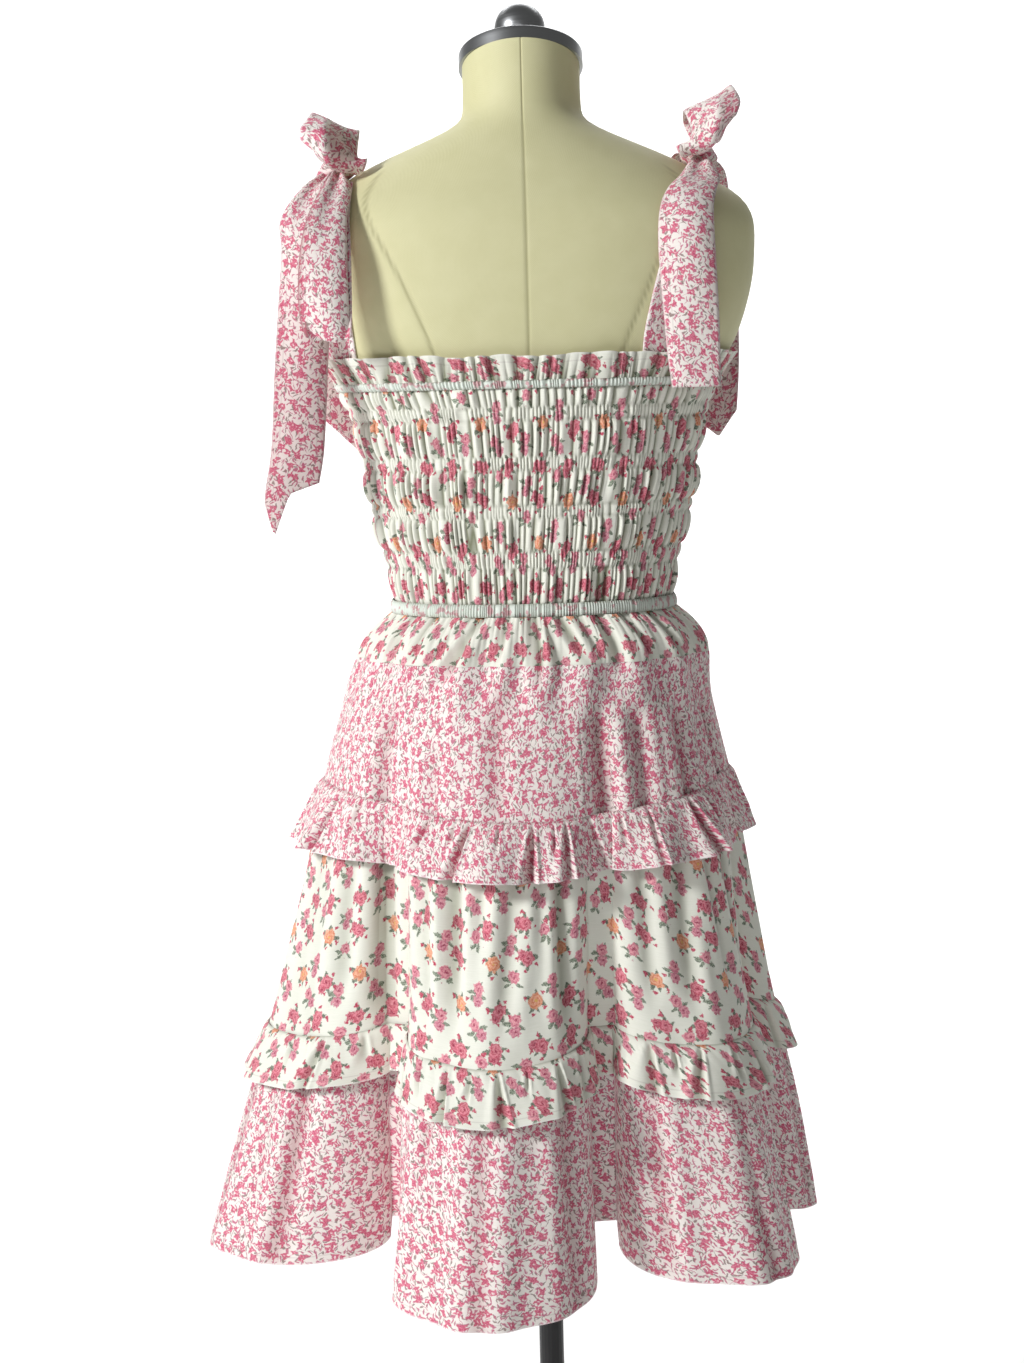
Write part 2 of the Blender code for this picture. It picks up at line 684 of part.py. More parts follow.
def arc(centre, radius, start, end, steps):
    """Points of an arc in a profile, by angle from the axis of the turn."""
    points = []
    for step in range(steps + 1):
        turn = math.radians(start + (end - start) * step / steps)
        points.append((centre[0] + radius * math.sin(turn), centre[1] + radius * math.cos(turn)))
    return points


def neck_cap(metal, collection):
    """The metal band on the neck and the ball on top of it, both square to the neck's top."""
    lean = math.atan(NECK_SLOPE)
    axis = Vector((0.0, math.sin(lean), math.cos(lean)))
    seat = Vector((0.0, 0.0, NECK_TOP)) + axis * CLEARANCE
    crown = BAND_HEIGHT + BAND_CROWN
    edge = 0.002
    profile = [(0.0, crown), (BAND_RADIUS * 0.55, crown - 0.0012), (BAND_RADIUS * 0.85, BAND_HEIGHT + 0.0018),
               (BAND_RADIUS - edge, BAND_HEIGHT), (BAND_RADIUS, BAND_HEIGHT - edge), (BAND_RADIUS, 0.0),
               (0.0, 0.0)]
    band = turned("neck_band", profile, 28, metal, collection)
    band.location = seat
    band.rotation_euler = (-lean, 0.0, 0.0)
    foot = 150.0
    centre = -KNOB_RADIUS * math.cos(math.radians(foot))
    ball = arc((0.0, centre), KNOB_RADIUS, 0.0, foot, 7)
    ball[0] = (0.0, ball[0][1])
    knob = turned("neck_knob", ball + [(0.0, 0.0)], 18, metal, collection)
    knob.location = seat + axis * (crown + CLEARANCE)
    knob.rotation_euler = (-lean, 0.0, 0.0)


def stand(metal, collection):
    """The round base and the pole that carries the form."""
    base_profile = [(0.0, HUB_TOP), (0.014, HUB_TOP), (0.020, HUB_TOP - 0.005), (0.022, 0.028),
                    (0.034, 0.0195), (0.080, 0.0150), (BASE_RADIUS - 0.008, 0.0105),
                    (BASE_RADIUS, 0.0060), (BASE_RADIUS, 0.0), (0.0, 0.0)]
    turned("base", base_profile, 28, metal, collection)
    foot = HUB_TOP + CLEARANCE
    top = FORM[0][0] - CLEARANCE
    bpy.ops.mesh.primitive_cylinder_add(vertices=20, radius=POLE_RADIUS, depth=top - foot,
                                        location=(0.0, 0.0, (top + foot) / 2))
    pole = bpy.context.object
    pole.name = "pole"
    pole.data.materials.append(metal)
    for other in list(pole.users_collection):
        other.objects.unlink(pole)
    collection.objects.link(pole)


def dress_half(side, middle, fabrics, collection):
    """Every cloth piece of the back or of the front."""
    floral, ditsy, plain = fabrics
    bodice_half("bodice_" + side, middle, floral, collection)
    frill_half("top_frill_" + side, middle, floral, collection)
    top_edges = (CASING_TOP, BODICE_TOP + CLEARANCE)
    waist_edges = (BODICE_FOOT - CLEARANCE, WAIST)
    band_half("top_casing_" + side, middle, top_edges, TOP_CASING_OUT, plain, collection)
    band_half("waist_casing_" + side, middle, waist_edges, WAIST_CASING_OUT, plain, collection)
    skirt_panel("yoke_" + side, middle, "waist", "yoke foot", 2, floral, collection)
    skirt_panel("tier_1_" + side, middle, "yoke foot", "seam 1", 2, ditsy, collection)
    skirt_panel("tier_2_" + side, middle, "seam 1", "seam 2", 3, floral, collection)
    skirt_panel("tier_3_" + side, middle, "seam 2", "hem", 3, ditsy, collection)
    ruffle_panel("ruffle_1_" + side, middle, "seam 1", "ruffle 1 foot", RUFFLE_1_WAVES, RUFFLE_1_FLARE,
                 ditsy, collection)
    ruffle_panel("ruffle_2_" + side, middle, "seam 2", "ruffle 2 foot", RUFFLE_2_WAVES, RUFFLE_2_FLARE,
                 floral, collection)


def build():
    clear_scene()
    collection = bpy.data.collections.new("sundress on a dress form")
    bpy.context.scene.collection.children.link(collection)
    floral = make_material("floral cotton", (0.86, 0.84, 0.76), 0.85)
    ditsy = make_material("pink flowered cotton", (0.88, 0.55, 0.64), 0.85)
    plain = make_material("gathered casing", (0.84, 0.87, 0.82), 0.85)
    linen = make_material("form linen", (0.72, 0.69, 0.50), 0.80)
    steel = make_material("brushed steel", (0.62, 0.63, 0.64), 0.35, 1.0)
    black = make_material("black painted steel", (0.02, 0.02, 0.02), 0.40)
    torso(linen, collection)
    neck_cap(steel, collection)
    stand(black, collection)
    for side, middle in (("back", 0.0), ("front", 180.0)):
        dress_half(side, middle, (floral, ditsy, plain), collection)
    for name, (side, table) in STRAPS.items():
        strap(name, side, table, ditsy, collection)
    for name, table in RIBBONS.items():
        ribbon(name, table, ditsy, collection)
    for name, (centre, half_sizes, lean) in KNOTS.items():
        knot(name, centre, half_sizes, lean, ditsy, collection)


build()
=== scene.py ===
"""Looks of the tiered cotton sundress on its dress form.

Metres, +Z up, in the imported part's frame. An angle runs round the upright axis in degrees:
0 is the middle of the dress's back, which faces -Y, 90 the +X side, 180 the middle of the front.
"""

import math

import bmesh
import bpy
import numpy as np
from mathutils import Matrix, Vector


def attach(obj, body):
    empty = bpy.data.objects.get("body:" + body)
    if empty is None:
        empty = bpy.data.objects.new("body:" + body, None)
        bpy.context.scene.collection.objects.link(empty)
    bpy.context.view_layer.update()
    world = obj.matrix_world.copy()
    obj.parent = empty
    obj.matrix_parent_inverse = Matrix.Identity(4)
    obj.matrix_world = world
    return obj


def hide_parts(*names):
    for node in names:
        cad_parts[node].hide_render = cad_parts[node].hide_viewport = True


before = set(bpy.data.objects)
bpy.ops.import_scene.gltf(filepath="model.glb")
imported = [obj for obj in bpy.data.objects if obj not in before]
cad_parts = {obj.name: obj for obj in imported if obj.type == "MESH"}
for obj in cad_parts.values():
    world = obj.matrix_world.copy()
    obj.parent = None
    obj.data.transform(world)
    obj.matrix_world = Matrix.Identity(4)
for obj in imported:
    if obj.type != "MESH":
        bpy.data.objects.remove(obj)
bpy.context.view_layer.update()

# Levels of the dress and of the form, as the solids have them
NECK_TOP = 1.431
NECK_SLOPE = 0.39
BODICE_TOP = 1.1822
BODICE_FOOT = 1.0172
CASING_TOP = 1.1888
FRILL_TOP = 1.2085
WAIST = 1.0072
YOKE_FOOT = 0.972
SEAM_1 = 0.8565
SEAM_1_SIDE_RISE = 0.020
SEAM_2 = 0.694
RUFFLE_1_FOOT = 0.8130
RUFFLE_1_SIDE_RISE = 0.014
RUFFLE_2_FOOT = 0.657
HEM = 0.540
HEM_LEVEL = 0.492
DIP_AT_SEAM_2 = 0.38
DIP_AT_RUFFLE_2 = 0.45
FOLD_START = 0.975
FOLD_GROWTH = 1.5
FOLD_ROUNDNESS = 0.58
# How round the hem is under each lobe: the lower, the squarer
HEM_ROUNDNESS = 0.20
YOKE_GATHERS = 20
STRAP_WIDTH = 0.040
STRAP_TIP_WIDTH = 0.020
STRAP_OUT = 0.0028
CLEARANCE = 0.0004
BASE_RADIUS = 0.180
HUB_TOP = 0.045
BAND_RADIUS = 0.0488
BAND_HEIGHT = 0.012
BAND_CROWN = 0.005
KNOB_RADIUS = 0.020
# Where a piece that goes all round starts and ends: the side seam at -X
ALL_ROUND = (-90.0, 270.0)
# Level at which points are spread evenly along the skirt
MIDDLE_OF_SKIRT = 0.62
BODICE_RIDGES = 118
CASING_RIBS = 290
FRILL_FLUTES = 62
# Half the height over which one block of gathers turns into the next, and that of the painted shade along a
# pinched seam or elastic row
BLOCK_BLEND = 0.0006
PINCH_HEIGHT = 0.0011
# Depth of a fold at which its painted shade is full
DARK_DEPTH = 0.0075
# Width and height of the rose print's repeat, in mm
ROSE_REPEAT = (33.0, 31.0)
# The photo's focal length and height in pixels, and the camera's place and turns in degrees
PHOTO_FOCUS = 2690.0
PHOTO_HEIGHT = 1363.0
SENSOR_WIDTH = 36.0
CAMERA_PLACE = (-0.019, -2.15, 1.185)
CAMERA_DOWN = 6.29
CAMERA_ROLL = -1.45

FORM = [
    # height, half width, back depth, front depth, squareness, rise to the back
    (0.790, 0.1440, 0.1020, 0.1020, 2.2, 0.00),
    (0.797, 0.1500, 0.1065, 0.1065, 2.2, 0.00),
    (0.825, 0.1510, 0.1080, 0.1080, 2.2, 0.00),
    (0.860, 0.1480, 0.1080, 0.1070, 2.2, 0.00),
    (0.900, 0.1400, 0.1040, 0.1030, 2.2, 0.00),
    (0.940, 0.1275, 0.0980, 0.0980, 2.2, 0.00),
    (0.980, 0.1150, 0.0890, 0.0910, 2.2, 0.00),
    (1.012, 0.1078, 0.0825, 0.0860, 2.2, 0.00),
    (1.035, 0.1100, 0.0825, 0.0885, 2.2, 0.00),
    (1.061, 0.1172, 0.0840, 0.0940, 2.2, 0.00),
    (1.100, 0.1260, 0.0880, 0.1040, 2.2, 0.00),
    (1.137, 0.1315, 0.0930, 0.1150, 2.2, 0.00),
    (1.166, 0.1390, 0.0975, 0.1205, 2.2, 0.00),
    (1.190, 0.1490, 0.1010, 0.1215, 2.3, 0.00),
    (1.217, 0.1640, 0.1045, 0.1160, 2.4, 0.00),
    (1.240, 0.1725, 0.1065, 0.1090, 2.5, 0.00),
    (1.265, 0.1785, 0.1075, 0.1000, 2.5, 0.00),
    (1.290, 0.1805, 0.1065, 0.0900, 2.5, 0.00),
    (1.308, 0.1800, 0.1040, 0.0820, 2.5, 0.00),
    (1.320, 0.1755, 0.1005, 0.0765, 2.4, 0.00),
    (1.330, 0.1665, 0.0960, 0.0715, 2.3, 0.00),
    (1.340, 0.1500, 0.0900, 0.0665, 2.2, 0.02),
    (1.352, 0.1290, 0.0820, 0.0615, 2.1, 0.05),
    (1.363, 0.1040, 0.0730, 0.0570, 2.0, 0.10),
    (1.373, 0.0780, 0.0640, 0.0535, 2.0, 0.14),
    (1.382, 0.0580, 0.0570, 0.0510, 2.0, 0.18),
    (1.391, 0.0485, 0.0525, 0.0495, 2.0, 0.22),
    (1.408, 0.0463, 0.0490, 0.0485, 2.0, 0.31),
    (NECK_TOP, 0.0462, 0.0475, 0.0475, 2.0, NECK_SLOPE),
]

SKIRT = [
    # height, half width, back depth, front depth, shift to +X
    (0.480, 0.1840, 0.1300, 0.1420, -0.0070),
    (0.600, 0.1800, 0.1310, 0.1420, -0.0070),
    (0.690, 0.1730, 0.1320, 0.1420, -0.0070),
    (0.800, 0.1640, 0.1360, 0.1420, -0.0070),
    (0.871, 0.1580, 0.1370, 0.1410, -0.0070),
    (0.898, 0.1540, 0.1330, 0.1370, -0.0075),
    (0.925, 0.1490, 0.1270, 0.1310, -0.0070),
    (0.950, 0.1445, 0.1215, 0.1260, -0.0045),
    (0.970, 0.1405, 0.1170, 0.1215, -0.0010),
    (0.983, 0.1360, 0.1110, 0.1160, 0.0000),
    (0.995, 0.1270, 0.1030, 0.1080, 0.0000),
    (1.008, 0.1127, 0.0895, 0.0930, 0.0000),
]

LOBES = [
    # from angle, to angle, out at the hem, dip at the hem
    (-98.0, -49.0, 0.103, 0.033),
    (-41.0, 17.0, 0.112, 0.048),
    (26.0, 72.0, 0.087, 0.042),
    (79.0, 101.0, 0.048, 0.028),
    (108.0, 135.0, 0.068, 0.040),
    (142.0, 165.0, 0.076, 0.044),
    (172.0, 202.0, 0.082, 0.046),
    (209.0, 231.0, 0.072, 0.042),
    (239.0, 255.0, 0.058, 0.034),
]

DENTS = [
    # angle, half width in degrees, depth at the hem
    (-70.0, 7.0, 0.012),
    (-22.0, 6.0, 0.009),
    (-3.0, 5.0, 0.007),
    (39.0, 6.0, 0.013),
    (57.0, 5.0, 0.007),
    (121.0, 5.0, 0.009),
    (187.0, 6.0, 0.011),
    (221.0, 5.0, 0.008),
]

# Elastic threads of the bodice: rows where the cloth is drawn in
ELASTIC_ROWS = [1.1680, 1.1580, 1.1300, 1.1200, 1.0930, 1.0835, 1.0570, 1.0440]

# Creases of the skirt, listed one by one
CREASES = [
    # top angle, top height, foot angle, foot height, half width in mm, depth in mm, fade at top, fade at foot
    (-26, 1.01, -37, 0.95, 5.5, 6, 0.05, 0.45), (-30.5, 1.01, -43, 0.966, 3.5, 3.5, 0.05, 0.5),
    (-13, 1.01, -16, 0.968, 3.5, 3.5, 0.05, 0.5), (-0.6, 1.01, 2.6, 0.945, 5, 5.5, 0.05, 0.45),
    (5, 1.01, 8, 0.972, 3, 3, 0.05, 0.5), (11.4, 1.01, 19, 0.972, 3.6, 4.5, 0.05, 0.45),
    (21, 1.01, 25, 0.978, 3, 3, 0.05, 0.5), (31, 1.01, 33, 0.96, 4.5, 5, 0.05, 0.45),
    (43, 1.01, 47, 0.966, 4, 4, 0.05, 0.5), (58, 1.01, 60, 0.96, 4, 4, 0.05, 0.5),
    (-50.2, 1.01, -47, 0.966, 4.5, 4.5, 0.05, 0.5), (-62.4, 1.01, -60, 0.958, 4, 4, 0.05, 0.5),
    (-78, 1.01, -76, 0.962, 4.5, 4, 0.05, 0.5), (80, 1.01, 82, 0.958, 4.5, 4.5, 0.05, 0.5),
    (101, 1.01, 104, 0.962, 4, 4, 0.05, 0.5), (118, 1.01, 121, 0.952, 5, 5, 0.05, 0.45),
    (133, 1.01, 134, 0.968, 3.6, 3.5, 0.05, 0.5), (150, 1.01, 156, 0.95, 5, 5, 0.05, 0.45),
    (168, 1.01, 167, 0.966, 3.6, 4, 0.05, 0.5), (183, 1.01, 186, 0.948, 5, 5.5, 0.05, 0.45),
    (199, 1.01, 196, 0.966, 3.6, 4, 0.05, 0.5), (214, 1.01, 210, 0.952, 4.6, 5, 0.05, 0.45),
    (232, 1.01, 229, 0.966, 4, 4, 0.05, 0.5), (249, 1.01, 246, 0.958, 4.4, 4.5, 0.05, 0.5),
    (-11.8, 0.978, -9.8, 0.848, 9, 2.4, 0.3, 0.2), (24.6, 0.952, 23.4, 0.846, 8, 5, 0.3, 0.2),
    (38.6, 0.948, 35, 0.848, 7, 4, 0.3, 0.2), (55.8, 0.95, 50.4, 0.85, 7, 4.5, 0.3, 0.2),
    (-52, 0.95, -50, 0.852, 8, 3, 0.3, 0.2), (-30, 0.93, -31, 0.846, 9, 2.2, 0.4, 0.2),
    (72, 0.95, 74, 0.85, 8, 4, 0.3, 0.2), (112, 0.96, 109, 0.848, 8, 4, 0.3, 0.2),
    (138, 0.95, 141, 0.846, 8, 4.5, 0.3, 0.2), (170, 0.962, 168, 0.846, 9, 4, 0.3, 0.2),
    (206, 0.95, 208, 0.846, 8, 4.5, 0.3, 0.2), (236, 0.955, 234, 0.848, 8, 3.5, 0.3, 0.2),
    (260, 0.95, 262, 0.85, 8, 3.5, 0.3, 0.2), (-59, 0.868, -55.8, 0.69, 9, 5, 0.15, 0.3),
    (-49.5, 0.862, -49.8, 0.69, 7, 4.5, 0.15, 0.2), (-33, 0.856, -28.6, 0.684, 6, 4, 0.15, 0.35),
    (-23, 0.856, -21.4, 0.68, 7, 4.5, 0.15, 0.4), (-13.5, 0.856, -14.5, 0.74, 5, 3, 0.15, 0.55),
    (-4, 0.856, -9, 0.676, 7, 4, 0.15, 0.35), (2, 0.856, 3, 0.72, 5, 3, 0.15, 0.55),
    (7.6, 0.856, 8.4, 0.68, 6, 4.5, 0.15, 0.3), (32.5, 0.862, 33.6, 0.69, 6, 3.5, 0.15, 0.35),
    (43.4, 0.862, 43.4, 0.684, 7, 4.5, 0.15, 0.35), (54, 0.866, 55, 0.69, 6, 3.5, 0.15, 0.35),
    (-82, 0.876, -84, 0.69, 8, 4.5, 0.15, 0.3), (64, 0.872, 66, 0.7, 7, 4, 0.15, 0.35),
    (90, 0.876, 91, 0.69, 6, 4, 0.15, 0.35), (121, 0.868, 122, 0.69, 7, 5, 0.15, 0.3),
    (153, 0.862, 154, 0.69, 7, 4.5, 0.15, 0.35), (179, 0.856, 180, 0.684, 7, 4.5, 0.15, 0.35),
    (193, 0.857, 192, 0.69, 7, 4.5, 0.15, 0.35), (219, 0.864, 221, 0.69, 7, 4.5, 0.15, 0.35),
    (247, 0.872, 246, 0.69, 7, 4.5, 0.15, 0.35), (-61, 0.69, -61.4, 0.5, 9, 3.6, 0.15, 0.1),
    (-78, 0.69, -80, 0.5, 10, 4, 0.15, 0.1), (-34, 0.68, -36.5, 0.48, 6, 3, 0.15, 0.2),
    (-26, 0.68, -28, 0.56, 6, 2.6, 0.15, 0.5), (-12.8, 0.68, -11.6, 0.47, 10, 4, 0.15, 0.1),
    (6, 0.68, 8, 0.48, 8, 3.4, 0.15, 0.15), (31, 0.69, 32, 0.49, 7, 3, 0.15, 0.2),
    (49, 0.684, 50, 0.48, 8, 3.6, 0.15, 0.1), (64, 0.69, 65, 0.49, 6, 3, 0.15, 0.2),
    (87, 0.69, 86, 0.5, 6, 3, 0.15, 0.2), (116, 0.69, 115, 0.49, 7, 3.4, 0.15, 0.2),
    (128, 0.69, 129, 0.49, 6, 3, 0.15, 0.2), (151, 0.69, 150, 0.49, 7, 3.6, 0.15, 0.15),
    (180, 0.684, 179, 0.48, 9, 4, 0.15, 0.1), (195, 0.684, 196, 0.48, 7, 3.4, 0.15, 0.15),
    (214, 0.69, 214, 0.49, 7, 3.4, 0.15, 0.2), (226, 0.69, 227, 0.49, 6, 3, 0.15, 0.2),
    (247, 0.69, 247, 0.49, 7, 3.4, 0.15, 0.2),
]

# Flutes of the two ruffles: sharp folds that open from the seam to the foot
FLUTES = {
    "ruffle_1": [
        # top angle, foot angle, half width at the foot in mm, depth in mm, share of the height it reaches
        (-84, -86, 5, 5, 1), (-64, -68.5, 5, 5, 1), (-55, -58, 4, 3.5, 0.8), (-45, -47, 4, 3, 1),
        (-37, -39.5, 3.5, 3, 0.7), (-29.4, -36, 5, 5.5, 0.75), (-21.4, -26, 3.4, 3.5, 0.6),
        (-17.2, -21.8, 5, 6, 1), (-9, -10.5, 3, 2.5, 0.6), (0.6, -0.6, 5, 6, 1), (6.5, 5.6, 3, 3, 0.7),
        (10.2, 8.8, 4.5, 5.5, 1), (18.2, 23.6, 4.5, 6, 1), (28, 30.5, 3.4, 3, 0.7), (36, 38, 3.6, 3.2, 1),
        (49.6, 54, 5, 5.5, 1), (56, 61, 4, 4.5, 0.8), (62, 70, 4.5, 5.5, 1), (70, 78, 4.5, 5, 1),
        (84, 88, 4, 4.5, 0.9), (98, 101, 5, 5, 1), (110, 109, 3.4, 3.5, 0.7), (117, 116, 5, 5.5, 1),
        (128, 130, 4, 4, 0.8), (139, 142, 5, 5.5, 1), (149, 148, 3.4, 3.5, 0.7), (158, 160.5, 5, 5.5, 1),
        (167, 166, 4, 4, 0.9), (176, 178.5, 5, 6, 1), (187, 186, 3.4, 3.5, 0.6), (194, 197, 5, 5.5, 1),
        (205, 204, 4, 4, 0.8), (214, 217, 5, 5.5, 1), (225, 224, 3.4, 3.5, 0.7), (233, 236, 5, 5, 1),
        (244, 243, 4, 4, 0.8), (254, 256, 5, 5, 1), (264, 263, 3.6, 3.5, 0.7),
    ],
    "ruffle_2": [
        (-88, -90, 4.5, 4, 1), (-76, -77.5, 4.5, 4, 1), (-66, -66, 3.6, 3, 0.7), (-58, -60, 4.5, 4.5, 1),
        (-51.5, -51, 3.6, 3, 0.8), (-35.6, -34, 4.5, 4.5, 1), (-29, -28, 3.6, 3.5, 0.8),
        (-21.4, -19.8, 4.5, 5, 1), (-15, -15.6, 3.4, 3, 0.7), (-9.2, -7.6, 4.5, 4.5, 1),
        (-2.5, -3, 3.4, 3, 0.6), (4.8, 6.2, 4.5, 5, 1), (11, 11.6, 3.6, 3.5, 1), (27, 26, 3.6, 3.5, 1),
        (32.2, 32.6, 4.5, 5, 1), (37.4, 38, 3.6, 3.6, 0.7), (43.2, 41.6, 4.5, 4.5, 1),
        (50, 51, 3.6, 3.5, 0.8), (57, 58, 4.5, 4.5, 1), (66, 66, 3.6, 3.5, 1), (82, 83, 4, 4, 1),
        (90, 91, 3.4, 3.5, 0.8), (97, 97, 4, 4, 1), (112, 111, 4.5, 4.5, 1), (119, 120, 3.6, 3.5, 0.7),
        (128, 129, 4.5, 4.5, 1), (146, 147, 4.5, 4.5, 1), (154, 153, 3.6, 3.5, 0.8), (161, 161, 4, 4, 1),
        (176, 177, 4.5, 5, 1), (184, 184, 3.6, 3.5, 0.7), (191, 191.5, 4.5, 4.5, 1),
        (198, 198, 3.6, 3.6, 1), (213, 213, 4.5, 4.5, 1), (221, 221, 3.6, 3.5, 0.8), (228, 227, 4, 4, 1),
        (243, 243, 4.5, 4.5, 1), (250, 251, 3.6, 3.6, 0.8), (262, 263, 4, 4, 1),
    ],
}

STRAPS = {
    # name: side of the form (-1 its back, 1 its front), then rows of height and distance from the middle
    "strap_back_left": (-1, [(1.1914, -0.141), (1.220, -0.147), (1.250, -0.151), (1.280, -0.151),
                             (1.305, -0.148), (1.325, -0.143), (1.341, -0.137)]),
    "strap_back_right": (-1, [(1.1914, 0.104), (1.220, 0.106), (1.250, 0.113), (1.280, 0.121),
                              (1.305, 0.126), (1.325, 0.130), (1.341, 0.132)]),
    "strap_front_left": (1, [(1.1914, -0.108), (1.220, -0.112), (1.250, -0.118), (1.280, -0.125),
                             (1.305, -0.129), (1.325, -0.132), (1.344, -0.132)]),
    "strap_front_right": (1, [(1.1914, 0.104), (1.220, 0.108), (1.250, 0.114), (1.280, 0.121),
                              (1.305, 0.126), (1.325, 0.129), (1.344, 0.129)]),
}

RIBBONS = {
    # rows of x, y, z, width and the turn of the width from +X
    "tail_back_left": [
        (-0.1525, -0.0355, 1.3502, 0.010, -16), (-0.163, -0.056, 1.338, 0.022, -20),
        (-0.171, -0.078, 1.316, 0.034, -14), (-0.168, -0.086, 1.290, 0.038, -6),
        (-0.170, -0.086, 1.250, 0.040, 0), (-0.174, -0.083, 1.200, 0.041, 2),
        (-0.179, -0.080, 1.140, 0.041, 0), (-0.185, -0.079, 1.106, 0.041, 0),
        (-0.187, -0.079, 1.073, 0.041, 0),
    ],
    "loop_back_left": [
        (-0.1430, -0.0382, 1.3517, 0.010, 0), (-0.143, -0.066, 1.3400, 0.022, 4),
        (-0.149, -0.100, 1.316, 0.030, 6), (-0.152, -0.116, 1.285, 0.036, 4),
        (-0.153, -0.118, 1.245, 0.038, 0), (-0.150, -0.1130, 1.221, 0.034, 0),
        (-0.150, -0.106, 1.243, 0.036, 0), (-0.149, -0.103, 1.285, 0.034, 4),
        (-0.143, -0.091, 1.305, 0.020, 6), (-0.142, -0.069, 1.333, 0.012, 0),
    ],
    "tail_back_right": [
        (0.1375, -0.0384, 1.3575, 0.014, 0), (0.135, -0.062, 1.344, 0.030, 4),
        (0.127, -0.086, 1.333, 0.038, 4), (0.122, -0.100, 1.316, 0.041, 2),
        (0.121, -0.106, 1.285, 0.043, 0), (0.123, -0.1075, 1.240, 0.042, -2),
        (0.1245, -0.1080, 1.205, 0.040, -2), (0.126, -0.1080, 1.180, 0.037, -2),
    ],
    "tail_front_left": [
        (-0.148, 0.0152, 1.3552, 0.014, 16), (-0.152, 0.040, 1.349, 0.024, 16),
        (-0.152, 0.064, 1.333, 0.032, 14), (-0.152, 0.080, 1.300, 0.038, 14),
        (-0.153, 0.088, 1.245, 0.041, 14), (-0.154, 0.090, 1.190, 0.041, 10),
        (-0.152, 0.090, 1.125, 0.041, 8),
    ],
    "tail_front_right": [
        (0.139, 0.0155, 1.3604, 0.014, -8), (0.149, 0.040, 1.350, 0.024, -16),
        (0.151, 0.064, 1.333, 0.032, -14), (0.153, 0.080, 1.300, 0.038, -14),
        (0.154, 0.086, 1.245, 0.041, -14), (0.154, 0.088, 1.190, 0.041, -10),
        (0.152, 0.088, 1.138, 0.037, -8),
    ],
    "loop_front_right": [
        (0.1345, 0.0144, 1.3631, 0.010, 0), (0.131, 0.046, 1.3635, 0.022, -4),
        (0.131, 0.084, 1.342, 0.029, -6), (0.130, 0.108, 1.295, 0.036, -8),
        (0.130, 0.114, 1.258, 0.038, -6), (0.129, 0.1105, 1.234, 0.034, -6),
        (0.129, 0.103, 1.257, 0.036, -6), (0.128, 0.098, 1.293, 0.034, -8),
        (0.127, 0.081, 1.328, 0.026, -6), (0.126, 0.052, 1.352, 0.018, 0),
    ],
    "loop_upper_left": [
        (-0.141, -0.0395, 1.3590, 0.016, 8), (-0.142, -0.052, 1.3520, 0.034, 8),
        (-0.144, -0.064, 1.3545, 0.044, 8), (-0.1445, -0.070, 1.3660, 0.052, 8),
        (-0.144, -0.064, 1.3800, 0.050, 8), (-0.144, -0.040, 1.3895, 0.041, 8),
        (-0.146, -0.010, 1.3885, 0.034, 8), (-0.147, 0.008, 1.3840, 0.030, 8),
        (-0.146, 0.010, 1.3765, 0.026, 8), (-0.144, -0.002, 1.3684, 0.012, 8),
    ],
    "loop_upper_right": [
        (0.137, -0.0395, 1.3640, 0.016, -8), (0.138, -0.052, 1.3600, 0.032, -8),
        (0.140, -0.064, 1.3640, 0.042, -8), (0.142, -0.069, 1.3760, 0.044, -8),
        (0.144, -0.062, 1.3900, 0.044, -8), (0.144, -0.040, 1.4000, 0.042, -8),
        (0.144, -0.010, 1.4010, 0.040, -8), (0.143, 0.008, 1.3950, 0.036, -8),
        (0.141, 0.010, 1.3850, 0.024, -8), (0.138, -0.002, 1.3740, 0.012, -8),
    ],
}
RIBBON_TILTS = {"loop_upper_left": 20.0, "loop_upper_right": -28.0}
RIBBON_ENDS = {
    # the cut end: place across the ribbon, share of the ribbon's length
    "tail_back_left": [(-0.5, 0.90), (-0.30, 1.0), (-0.02, 0.875), (0.5, 0.845)],
    "tail_front_left": [(-0.5, 0.90), (0.5, 1.0)],
    "tail_front_right": [(-0.5, 0.94), (0.15, 1.0), (0.5, 0.93)],
}
RIBBON_RIDGES = {
    # a crease along a bow's loop: place across it, how far its sides fall back, painted shade of its right
    # side
    "loop_upper_left": (-0.16, 0.013, 0.50),
    "loop_upper_right": (0.12, 0.010, 0.34),
}
# Painted shade over the lower part of some tails
RIBBON_SHADES = {"tail_back_left": 0.30, "tail_front_left": 0.35, "tail_front_right": 0.35}
# How dark the painted shade is along a loop's left edge, drawn as a fold line
RIBBON_EDGE_SHADES = {"loop_back_left": 0.85, "loop_front_right": 0.60}
# What a print's colour is multiplied by for the painted shade at the bottom of a fold
GREY_PAINTED_SHADE = (0.25, 0.26, 0.19, 1.0)
PINK_PAINTED_SHADE = (0.42, 0.17, 0.20, 1.0)
KNOTS = {
    # name: centre, half sizes, lean to +X in degrees
    "knot_left": ((-0.146, -0.012, 1.3548), (0.016, 0.027, 0.0105), -20.0),
    "knot_right": ((0.137, -0.012, 1.3600), (0.015, 0.027, 0.0105), 20.0),
}


# Shapes

